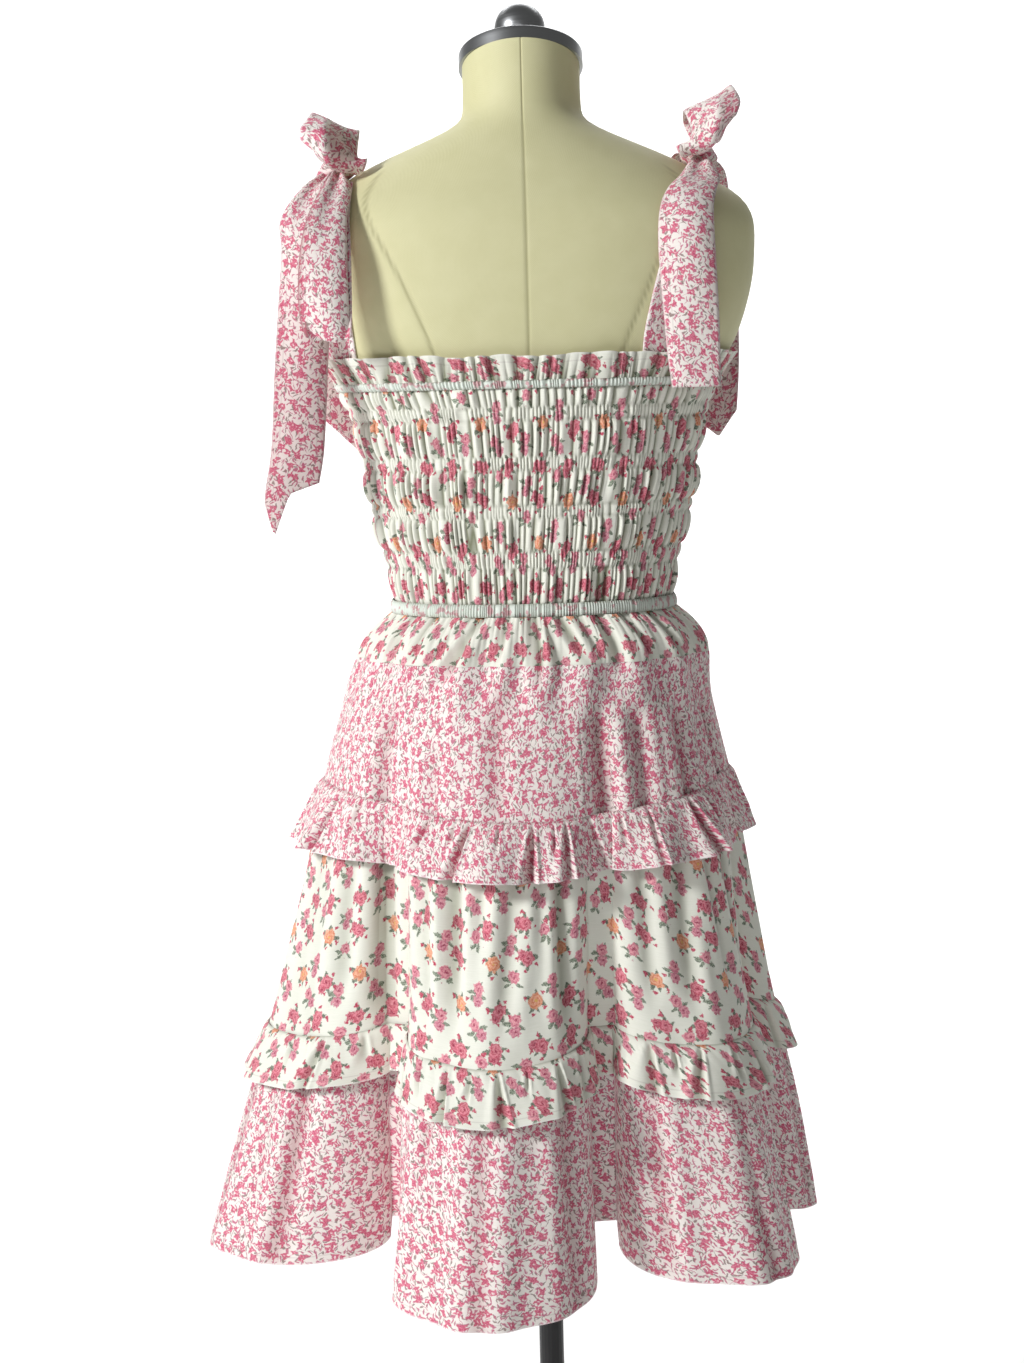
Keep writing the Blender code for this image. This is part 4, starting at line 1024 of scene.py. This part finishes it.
def neck_cap(steel):
    """The metal band on the neck and the ball on top of it."""
    lean = math.atan(NECK_SLOPE)
    axis = Vector((0.0, math.sin(lean), math.cos(lean)))
    seat = Vector((0.0, 0.0, NECK_TOP)) + axis * CLEARANCE
    crown = BAND_HEIGHT + BAND_CROWN
    edge = 0.002
    profile = [(0.0, crown), (BAND_RADIUS * 0.3, crown - 0.0003), (BAND_RADIUS * 0.55, crown - 0.0012),
               (BAND_RADIUS * 0.85, BAND_HEIGHT + 0.0018)]
    profile += arc((BAND_RADIUS - edge, BAND_HEIGHT - edge), edge, 15.0, 90.0, 6)
    profile += [(BAND_RADIUS, BAND_HEIGHT * 0.5), (BAND_RADIUS, 0.0002)]
    profile += [(BAND_RADIUS - 0.0008, 0.0), (0.0, 0.0)]
    centre = -KNOB_RADIUS * math.cos(math.radians(150.0))
    ball = arc((0.0, centre), KNOB_RADIUS, 0.0, 150.0, 32) + [(0.0, 0.0)]
    for name, node, shape, height in (("band", "neck_band", profile, 0.0),
                                      ("knob", "neck_knob", ball, crown + CLEARANCE)):
        item = turned_piece(name, shape)
        item.matrix_world = Matrix.Translation(seat + axis * height) @ Matrix.Rotation(-lean, 4, "X")
        finish_piece(item, [node], steel)


def base_plate(paint):
    """The stand's round foot with its hub."""
    profile = [(0.0, HUB_TOP), (0.014, HUB_TOP), (0.0165, HUB_TOP - 0.0008),
               (0.020, HUB_TOP - 0.005), (0.0212, 0.036),
               (0.022, 0.028), (0.0245, 0.0238), (0.034, 0.0195), (0.050, 0.0176), (0.080, 0.0150),
               (0.130, 0.0125), (BASE_RADIUS - 0.008, 0.0105), (BASE_RADIUS - 0.003, 0.0093),
               (BASE_RADIUS, 0.0060), (BASE_RADIUS, 0.0), (0.0, 0.0)]
    item = turned_piece("base_plate", profile, 160)
    finish_piece(item, ["base"], paint)


# Pieces of the dress

def shirred_bodice(material):
    """The shirred tube: tall puffs and fine gathers in turn, between rows of elastic."""
    flat_width = 1.12
    angle, level = body_grid(1300, 74)
    height = BODICE_TOP + 0.0006 + (BODICE_FOOT - BODICE_TOP - 0.0012) * level
    base = form_surface(angle, height, 0.003)
    around = share_round(base)
    edges = np.array([BODICE_TOP + 0.001] + ELASTIC_ROWS + [BODICE_FOOT - 0.001])
    common = 2.0 * np.pi * BODICE_RIDGES * around + 3.8 * uneven(around, 3, 47) + 1.9 * uneven(around, 4, 101)
    common = common + 3.0 * (height - 1.10) / 0.165 * uneven(around, 5, 9)
    relief, hollow = np.zeros_like(height), np.zeros_like(height)
    for block, (top, foot) in enumerate(zip(edges[:-1], edges[1:])):
        share = smooth_ramp(height, foot - BLOCK_BLEND, foot + BLOCK_BLEND)
        share = share * (1.0 - smooth_ramp(height, top - BLOCK_BLEND, top + BLOCK_BLEND))
        along = np.clip((top - height) / (top - foot), 0.0, 1.0)
        fine = 1.0 if top - foot < 0.015 else 0.0
        puff = np.sin(np.pi * along) ** (0.5 + 0.3 * fine)
        lean = (along - 0.5) * uneven(around, 30 + block, 50)
        phase = common * (1.0 + fine) + 3.0 * uneven(around, 20 + block, 71) + 1.6 * lean
        tall = 0.60 + 0.40 * uneven(around, 40 + block, 97)
        ridge = np.abs(np.sin(phase / 2.0)) ** 0.75
        split = np.maximum(uneven(around, 60 + block, 57), 0.0) * (1.0 - np.abs(np.sin(phase + 0.6)) ** 0.6)
        shape = np.clip(ridge * tall - 0.30 * split * (1.0 - fine), 0.0, 1.0)
        deep = 0.0054 - 0.0034 * fine
        relief += share * (0.0010 + (0.0012 + deep * puff) * shape)
        # Painted shade: darker in the valleys between ridges, and in thin lines along the elastic rows
        dark = np.clip(1.0 - ridge * 1.15 + 0.5 * split * (1.0 - fine), 0.0, 1.0) ** 1.2
        pinch_shade = sum(np.exp(-((height - row) / PINCH_HEIGHT) ** 2) for row in (top, foot))
        shade = dark * (1.0 - 0.25 * fine) + 0.35 * pinch_shade * (1.0 - ridge) + 0.10 * pinch_shade
        hollow += share * np.clip(shade, 0.0, 1.0)
    points = form_surface(angle, height, 0.0008 + relief)
    item = grid_object("shirred_bodice", points, flat_places(base, flat_width), closed=True,
                       edge=np.ones_like(relief), hollow=hollow)
    finish_piece(item, both_halves("bodice"), material)


def casing(name, top, foot, out, material):
    """A narrow casing drawn into fine ribs, with painted shade between the ribs and a thin painted shadow
    line along each seam.
    """
    flat_width, least_length = 0.92, 0.0102
    angle, level = body_grid(1680, 6)
    height = top + (foot - top) * level
    base = form_surface(angle, height, out)
    around = share_round(base)
    ribs = 0.5 + 0.5 * np.sin(2.0 * np.pi * CASING_RIBS * around + 5.0 * uneven(around, 81, 120))
    belly = np.sin(np.pi * level) ** 0.5
    relief = 0.0013 * ribs * (0.35 + 0.65 * belly) + 0.0009 * belly + 0.0004 * uneven(around, 82, 90)
    # Painted shade between the ribs and along the top and foot seams
    hollow = (1.0 - ribs) ** 2 * 0.46 + 0.42 * (1.0 - belly)
    points = form_surface(angle, height, out + relief)
    item = grid_object(name, points, flat_places(base, flat_width), closed=True,
                       edge=np.ones_like(relief), hollow=hollow)
    finish_piece(item, both_halves(name), material)


def top_frill(material):
    """The narrow frill above the top casing: drawn in at its foot, fluted towards its top."""
    flat_width = 1.15
    angle, level = body_grid(1200, 14, 1.0, 0.0)
    base = form_surface(angle, CASING_TOP + 0.0 * level, 0.005)
    around = share_round(base)
    phase = 2.0 * np.pi * FRILL_FLUTES * around + 4.4 * uneven(around, 71, 29) + 1.6 * uneven(around, 72, 60)
    phase = phase + 1.6 * (level - 0.5) * uneven(around, 73, 40)
    wide = np.abs(np.sin(phase / 2.0)) ** 0.6
    flute = wide * (0.65 + 0.35 * uneven(around, 74, 55))
    fine = np.abs(np.sin(phase * 1.5 + 1.0)) ** 0.6
    near = (1.0 - level) ** 0.7
    high = FRILL_TOP - CASING_TOP + 0.0012 * uneven(around, 75, 50) - 0.0012 * (1.0 - flute)
    height = CASING_TOP - 0.0006 + high * level
    out = 0.0022 + 0.0012 * level + (0.0022 + 0.0040 * level) * flute + 0.0020 * fine * near
    points = form_surface(angle, height, out)
    edge = (1.0 - level) * (FRILL_TOP - CASING_TOP)
    # Painted shade in the valleys between flutes, and between the fine gathers near the foot
    hollow = np.clip((1.0 - wide) * 1.3 * (1.0 - 0.55 * level) + 0.55 * (1.0 - fine) * near ** 2, 0.0, 1.0)
    item = grid_object("top_frill", points, flat_places(points, flat_width), closed=True, edge=edge,
                       hollow=hollow)
    finish_piece(item, both_halves("top_frill"), material)


def crease_out(angle, height, radius):
    """How far the listed creases press the skirt in, and raise it beside them."""
    out = np.zeros_like(angle)
    for top_angle, top, foot_angle, foot, half_width, deep, fade_top, fade_foot in CREASES:
        share = (top - height) / (top - foot)
        middle = top_angle + (foot_angle - top_angle) * share
        away = np.radians(angle_from(angle, middle)) * radius * 1000.0 / half_width
        along = smooth_ramp(share, 0.0, fade_top) * (1.0 - smooth_ramp(share, 1.0 - fade_foot, 1.0))
        shape = np.exp(-away ** 2) - 0.35 * np.exp(-((np.abs(away) - 1.9) / 0.9) ** 2)
        out -= deep / 1000.0 * along * shape
    return out


def soft_folds(share, fall, seed, count, size):
    """Soft uneven folds that hang from a gathered seam; share is round the skirt, fall from 0 down to 1."""
    drift = 0.6 / count * fall * uneven(share, seed + 5, 11)
    wave = uneven(share + drift, seed, count) + 0.5 * uneven(share - drift, seed + 1, int(count * 1.9))
    return size * wave * (0.35 + 0.65 * np.minimum(fall * 4.0, 1.0)) * (1.0 - 0.35 * fall)


def seam_gathers(share, below, seed, count, reach, size):
    """Small sharp gathers just below a seam; below is the distance from it."""
    wave = np.abs(np.sin(np.pi * count * share + 3.0 * uneven(share, seed, count // 3))) ** 0.7 - 0.6
    tall = 0.65 + 0.35 * uneven(share, seed + 1, count // 2)
    return size * wave * tall * np.exp(-(np.maximum(below, 0.0) / reach) ** 1.3)


def skirt_piece(name, top, foot, grid, flat_size, folds, gathers, material, hem=False, tuck=False):
    """A tier or the yoke, all round between two of the skirt's edges.
    folds is the number and size of the soft folds; gathers the number, reach and size of the small ones."""
    columns, rows = grid
    nodes = both_halves(name)
    seed = len(nodes[0])
    angle, level = np.meshgrid(even_angles(columns), np.linspace(0.0, 1.0, rows + 1))
    high = edge_height(top, angle)
    low = edge_height(foot, angle)
    height = high + (low - high) * level
    base = skirt_surface(angle, height, 0.0)
    flat = flat_places(base, flat_size[0])
    share = flat[..., 0] / flat_size[0]
    small = crease_out(angle, height, np.linalg.norm(base[..., :2], axis=-1))
    small = small + soft_folds(share, level, seed, *folds)
    small = small + seam_gathers(share, high - height, seed + 9, *gathers)
    tucked = 0.0016 * np.exp(-((high - height) / 0.006) ** 2) if tuck else 0.0
    points = skirt_surface(angle, height, small - tucked - CLEARANCE)
    edge = flat[..., 1] if hem else np.ones_like(small)
    # Painted shade, darker the deeper a crease or fold presses in
    hollow = np.clip(-small / DARK_DEPTH, 0.0, 1.0) ** 1.3
    item = grid_object(name, points, flat, closed=True, edge=edge, hollow=hollow)
    finish_piece(item, nodes, material)


def ruffle_wave(angle, waves):
    """The ruffle's waves, between 0 and 1, one set for the back half and one for the front."""
    fine, lengths = skirt_lengths()
    place = np.interp(angle, fine, lengths)
    half = np.interp(90.0, fine, lengths)
    total = lengths[-1]
    waves_made = []
    for share, middle in ((place / half, 0.0), ((place - half) / (total - half), 180.0)):
        turn = 2 * np.pi * (waves * share + 0.25 * np.sin(3 * np.pi * share + middle))
        waves_made.append(0.5 + 0.5 * np.sin(turn))
    ease = 5.0
    front = np.clip((angle - 90.0) / ease + 0.5, 0.0, 1.0)
    start = np.clip((angle + 90.0) / ease, 0.0, 1.0)
    end = np.clip((270.0 - angle) / ease, 0.0, 1.0)
    wave = waves_made[0] * (1.0 - front) + waves_made[1] * front
    return 0.5 + (wave - 0.5) * np.minimum(start, end)


def flute_out(name, angle, level, radius):
    """How far the ruffle's flutes press it in, and raise it beside them."""
    out = np.zeros_like(angle)
    for top_angle, foot_angle, half_width, deep, reach in FLUTES[name]:
        middle = top_angle + (foot_angle - top_angle) * level
        width = half_width * (0.30 + 0.70 * level)
        away = np.radians(angle_from(angle, middle)) * radius * 1000.0 / width
        away = np.where(away > 0.0, away * 2.0, away * 0.8)
        fade = 1.0 if reach >= 1.0 else 1.0 - smooth_ramp(level, reach - 0.35, reach)
        along = smooth_ramp(level, -0.05, 0.30) * fade
        shape = np.exp(-away ** 2) - 0.45 * np.exp(-((np.abs(away) - 1.8) / 0.8) ** 2)
        out -= deep / 1000.0 * along * shape
    return out


def ruffle(name, top, foot, waves, flare, flat_size, gathers, material):
    """A ruffle below a seam: gathered at its top, fluted and waved towards its foot."""
    columns, rows = 1400, 26
    angle, level = np.meshgrid(even_angles(columns), np.linspace(0.0, 1.0, rows + 1))
    wave = ruffle_wave(angle, waves)
    high = edge_height(top, angle) + 0.0006
    low = edge_height(foot, angle) + 0.002 * wave
    height = high + (low - high) * level
    room = 0.15 + 0.85 * lobe_rise(angle)
    start = 0.0026 * smooth_ramp(level, -0.04, 0.10) - 0.0006
    flared = start + level * (0.0024 + room * flare * (0.30 + 0.70 * wave))
    base = skirt_surface(angle, height, flared)
    share = share_round(base)
    radius = np.linalg.norm(base[..., :2], axis=-1)
    small = seam_gathers(share, high - height, 50 + waves, *gathers) + flute_out(name, angle, level, radius)
    small = small * (0.35 + 0.65 * room) * smooth_ramp(level, -0.02, 0.08)
    small = np.maximum(small, np.minimum(0.0008 - flared, 0.0))
    points = skirt_surface(angle, height, flared + small)
    flat = flat_places(base, flat_size[0])
    # Painted shadow line just under the seam, and painted shade in the flutes and gathers, darker the deeper
    # they press in
    seam = 0.55 * np.exp(-((high - height) / PINCH_HEIGHT) ** 2)
    hollow = np.clip(-small / DARK_DEPTH + seam, 0.0, 1.0)
    item = grid_object(name, points, flat, closed=True, edge=flat[..., 1], hollow=hollow)
    finish_piece(item, both_halves(name), material)


def form_angle(distance, height, side):
    """Angle at which the form's surface is this far from the middle, on its back or front."""
    low = np.full_like(distance, -90.0 if side < 0 else 270.0)
    high = np.full_like(distance, 90.0)
    for _ in range(40):
        middle = (low + high) / 2
        short = form_surface(middle, height, 0.0)[..., 0] < distance
        low = np.where(short, middle, low)
        high = np.where(short, high, middle)
    return (low + high) / 2


def square_to_form(angle, height, out):
    """Points above the form's surface, moved out square to it."""
    along = form_surface(angle + 1.0, height, 0.0) - form_surface(angle - 1.0, height, 0.0)
    upward = form_surface(angle, height + 0.002, 0.0) - form_surface(angle, height - 0.002, 0.0)
    normal = np.cross(along, upward)
    normal /= np.linalg.norm(normal, axis=-1, keepdims=True)
    return form_surface(angle, height, 0.0) + normal * out[..., None]


def strap(name, side, table, material):
    """A strap that lies on the form between the casing and the shoulder."""
    rows, columns = 50, 18
    heights = np.linspace(table[-1][0], table[0][0], rows + 1)
    across = np.linspace(-0.5, 0.5, columns + 1)
    share = (heights - heights[-1]) / (heights[0] - heights[-1])
    taper = np.maximum(0.0, share - 0.7) / 0.3
    width = STRAP_WIDTH + (STRAP_TIP_WIDTH - STRAP_WIDTH) * taper
    centre = form_angle(table_values(table, heights, 1), heights, side)
    direction = 1.0 if side < 0 else -1.0
    steps = 120
    turn = np.linspace(-24.0, 24.0, 2 * steps + 1)
    swept = form_surface(centre[:, None] + direction * turn, heights[:, None] + 0.0 * turn, 0.0)
    lengths = run_lengths(swept, 1)
    lengths -= lengths[:, steps:steps + 1]
    angle = np.array([centre[row] + direction * np.interp(across * width[row], lengths[row], turn)
                      for row in range(rows + 1)])
    pleats = np.cos(across * 2 * np.pi * 2.5)[None, :] * 0.0012 * taper[:, None]
    out = STRAP_OUT - 0.0008 + pleats + 0.0004 * np.sin(heights[:, None] * 95.0 + across * 5.0)
    points = square_to_form(angle, heights[:, None] + 0.0 * across, out)
    if side > 0:
        points = points[:, ::-1]
    # Painted shade over the pleats near the strap's end
    finish_ribbon(name, points, 0.5 * taper[:, None], material)


def finish_ribbon(name, points, hollow, material):
    """A ribbon of cloth over rows of points, with its two long edges turned in."""
    down = run_lengths(points, 0)
    across = np.linspace(-0.5, 0.5, points.shape[1])
    flat = np.stack([np.broadcast_to(across * STRAP_WIDTH, down.shape), down], axis=-1)
    edge = np.broadcast_to((0.5 - np.abs(across)) * STRAP_WIDTH, down.shape)
    label = name.replace("_", " ").title().replace(" ", "_")
    item = grid_object(label, points, flat, edge=edge, hollow=hollow + 0.0 * down)
    thicken(item, 0.0010)
    finish_piece(item, [name], material)


def smooth_rows(table, place):
    """A ribbon table's columns at many places along it, from 0 to its last row."""
    marked = [(float(index), *row) for index, row in enumerate(table)]
    return [table_values(marked, place, column) for column in range(1, 6)]


def ribbon(name, table, material):
    """A free ribbon of a bow: it follows its table, is drawn in near the knot and curls at its edges."""
    rows, columns = 84, 18
    offset = np.linspace(-0.5, 0.5, columns + 1)
    ends = RIBBON_ENDS.get(name, [(-0.5, 1.0), (0.5, 1.0)])
    share = np.linspace(0.0, 1.0, rows + 1)[:, None] * np.interp(offset, *zip(*ends))[None, :]
    x, y, z, width, turn = smooth_rows(table, share * (len(table) - 1.0))
    tilt = math.tan(math.radians(RIBBON_TILTS.get(name, 0.0)))
    across = np.stack([np.cos(np.radians(turn)), np.sin(np.radians(turn)), -tilt + 0.0 * turn], axis=-1)
    across /= np.linalg.norm(across, axis=-1, keepdims=True)
    centre = np.stack([x, y, z], axis=-1)
    along = np.gradient(centre, axis=0)
    normal = np.cross(across, along)
    normal /= np.linalg.norm(normal, axis=-1, keepdims=True) + 1e-9
    narrow = np.clip(1.0 - width / STRAP_WIDTH, 0.0, 1.0)
    pleats = np.cos(offset * 2 * np.pi * 1.5 + 0.6)[None, :]
    out = 0.0035 * narrow * pleats + 0.0014 * np.sin(9.0 * share) * np.sin(offset * 5.0 + 0.7)
    # Painted shade in the pleats where the ribbon is drawn in
    hollow = 0.45 * narrow * (0.5 + 0.5 * pleats)
    if name in RIBBON_RIDGES:
        place, fall, shade = RIBBON_RIDGES[name]
        facing = smooth_ramp(share, 0.05, 0.25) * (1.0 - smooth_ramp(share, 0.48, 0.60))
        out = out - fall * 2.0 * np.abs(offset - place) * facing
        # Painted shade on the side right of the crease
        hollow = hollow + shade * smooth_ramp(offset, place, place + 0.12) * facing
    else:
        out = out + 0.0050 * (2.0 * offset) ** 2 * (1.0 - narrow)
        # Painted shade along both long edges, and a painted fold line along the left edge
        rim = np.exp(-(0.5 - np.abs(offset)) * STRAP_WIDTH / 0.0016)
        fold = np.exp(-(0.5 + offset) * STRAP_WIDTH / 0.0026)
        hollow = hollow + 0.30 * rim + RIBBON_EDGE_SHADES.get(name, 0.0) * fold
        # Painted shade over the lower part of some tails
        hollow = hollow + RIBBON_SHADES.get(name, 0.0) * smooth_ramp(share, 0.25, 0.7)
    points = centre + across * (width * offset)[..., None] + normal * out[..., None]
    finish_ribbon(name, points, np.clip(hollow, 0.0, 1.0), material)


def knot(name, centre, half_sizes, lean, material):
    """A firm knot of cloth: a rounded lump with wrapped folds."""
    rows, columns = 40, 56
    upward = np.linspace(0.001, np.pi - 0.001, rows + 1)[:, None]
    around = np.linspace(0.0, 2 * np.pi, columns + 1)[None, :]
    swell = 1.0 + 0.05 * np.sin(6.0 * upward + 2.0 * np.sin(around)) * np.sin(upward)
    local = np.stack([half_sizes[0] * np.sin(upward) * np.cos(around) * swell,
                      half_sizes[1] * np.sin(upward) * np.sin(around) * swell,
                      half_sizes[2] * np.cos(upward) * swell + 0.0 * around], axis=-1)
    tilt = math.radians(lean)
    points = np.stack([local[..., 0] * math.cos(tilt) + local[..., 2] * math.sin(tilt),
                       local[..., 1],
                       local[..., 2] * math.cos(tilt) - local[..., 0] * math.sin(tilt)], axis=-1)
    points = points + np.array(centre)
    # An even painted shade over the whole knot
    item = grid_object(name.title(), points, flat_places(points, 0.06), closed=True,
                       edge=np.ones(points.shape[:2]), hollow=np.full(points.shape[:2], 0.2))
    finish_piece(item, [name], material)


# The studio

def studio():
    """A pale floor that curves up into a bright backdrop, and soft light from the upper left."""
    side, steps, near, far, bend = 11.0, 24, -8.0, 6.4, 2.4
    profile = [(near, 0.0)]
    for step in range(steps + 1):
        turn = math.pi / 2 * step / steps
        profile.append((far - bend + bend * math.sin(turn), bend - bend * math.cos(turn)))
    profile.append((far, 9.0))
    points = [(across, back, up - 0.0005) for back, up in profile for across in (-side, side)]
    faces = [(2 * row, 2 * row + 1, 2 * row + 3, 2 * row + 2) for row in range(len(profile) - 1)]
    mesh = bpy.data.meshes.new("studio_floor")
    mesh.from_pydata(points, [], faces)
    mesh.shade_smooth()
    floor = bpy.data.objects.new("studio_floor", mesh)
    bpy.context.scene.collection.objects.link(floor)
    material, _, shader = new_material("studio floor")
    set_inputs(shader, {"Base Color": (0.95, 0.95, 0.95, 1.0), "Roughness": 0.9})
    floor.data.materials.append(material)
    world = bpy.data.worlds.new("studio")
    bpy.context.scene.world = world
    world.use_nodes = True
    set_inputs(world.node_tree.nodes["Background"], {"Color": (1.0, 0.995, 0.97, 1.0), "Strength": 0.15})
    add_light("key", (-2.64, -1.90, 2.4), (0.0, 0.0, 0.95), 0.6, 101.0)
    add_light("fill", (-0.6, -3.0, 1.5), (0.0, 0.0, 0.9), 1.2, 7.0)
    add_light("backdrop", (0.0, 3.7, 4.6), (0.0, 6.2, 0.3), 4.5, 320.0)
    bpy.context.scene.view_settings.view_transform = "Standard"


def add_light(name, place, aim, size, power):
    """A square lamp at a place, aimed at another."""
    lamp = bpy.data.lights.new(name, "AREA")
    lamp.size = size
    lamp.energy = power
    item = bpy.data.objects.new(name, lamp)
    item.location = place
    item.rotation_euler = (Vector(aim) - Vector(place)).to_track_quat("-Z", "Y").to_euler()
    bpy.context.scene.collection.objects.link(item)


def photo_camera():
    """The camera that the photo was taken with, as far as its picture tells."""
    lens = bpy.data.cameras.new("photo")
    lens.lens = PHOTO_FOCUS * SENSOR_WIDTH / PHOTO_HEIGHT
    lens.sensor_width = SENSOR_WIDTH
    lens.dof.use_dof = False
    item = bpy.data.objects.new("photo", lens)
    bpy.context.scene.collection.objects.link(item)
    item.matrix_world = (Matrix.Translation(CAMERA_PLACE)
                         @ Matrix.Rotation(math.radians(90.0 - CAMERA_DOWN), 4, "X")
                         @ Matrix.Rotation(math.radians(CAMERA_ROLL), 4, "Z"))
    bpy.context.scene.camera = item


def dress(floral, ditsy, plain):
    """Every cloth piece of the dress."""
    shirred_bodice(floral)
    top_frill(floral)
    casing("top_casing", CASING_TOP, BODICE_TOP, 0.0042, plain)
    casing("waist_casing", BODICE_FOOT, WAIST, 0.0046, plain)
    skirt_piece("yoke", "waist", "yoke foot", (1200, 18), (1.20, 0.036), (40, 0.0012), (150, 0.022, 0.0022),
                floral)
    skirt_piece("tier_1", "yoke foot", "seam 1", (1000, 38), (1.15, 0.118), (30, 0.0010), (90, 0.010, 0.0003),
                ditsy)
    skirt_piece("tier_2", "seam 1", "seam 2", (1100, 50), (1.45, 0.175), (52, 0.0020), (130, 0.018, 0.0012),
                floral, tuck=True)
    skirt_piece("tier_3", "seam 2", "hem", (1150, 46), (1.85, 0.180), (56, 0.0018), (150, 0.016, 0.0012),
                ditsy, hem=True, tuck=True)
    ruffle("ruffle_1", "seam 1", "ruffle 1 foot", 10, 0.017, (1.55, 0.048), (150, 0.012, 0.0016),
           ditsy)
    ruffle("ruffle_2", "seam 2", "ruffle 2 foot", 11, 0.011, (1.95, 0.044), (190, 0.012, 0.0014),
           floral)
    for name, (side, table) in STRAPS.items():
        strap(name, side, table, ditsy)
    for name, table in RIBBONS.items():
        ribbon(name, table, ditsy)
    for name, (centre, half_sizes, lean) in KNOTS.items():
        knot(name, centre, half_sizes, lean, ditsy)


def build():
    """The whole scene."""
    steel, paint = brushed_steel(), black_paint()
    torso(form_linen())
    neck_cap(steel)
    base_plate(paint)
    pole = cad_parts["pole"]
    for place in pole.material_slots:
        place.material = paint
    dress(floral_cotton(), ditsy_cotton(), casing_cotton())
    studio()
    photo_camera()


build()
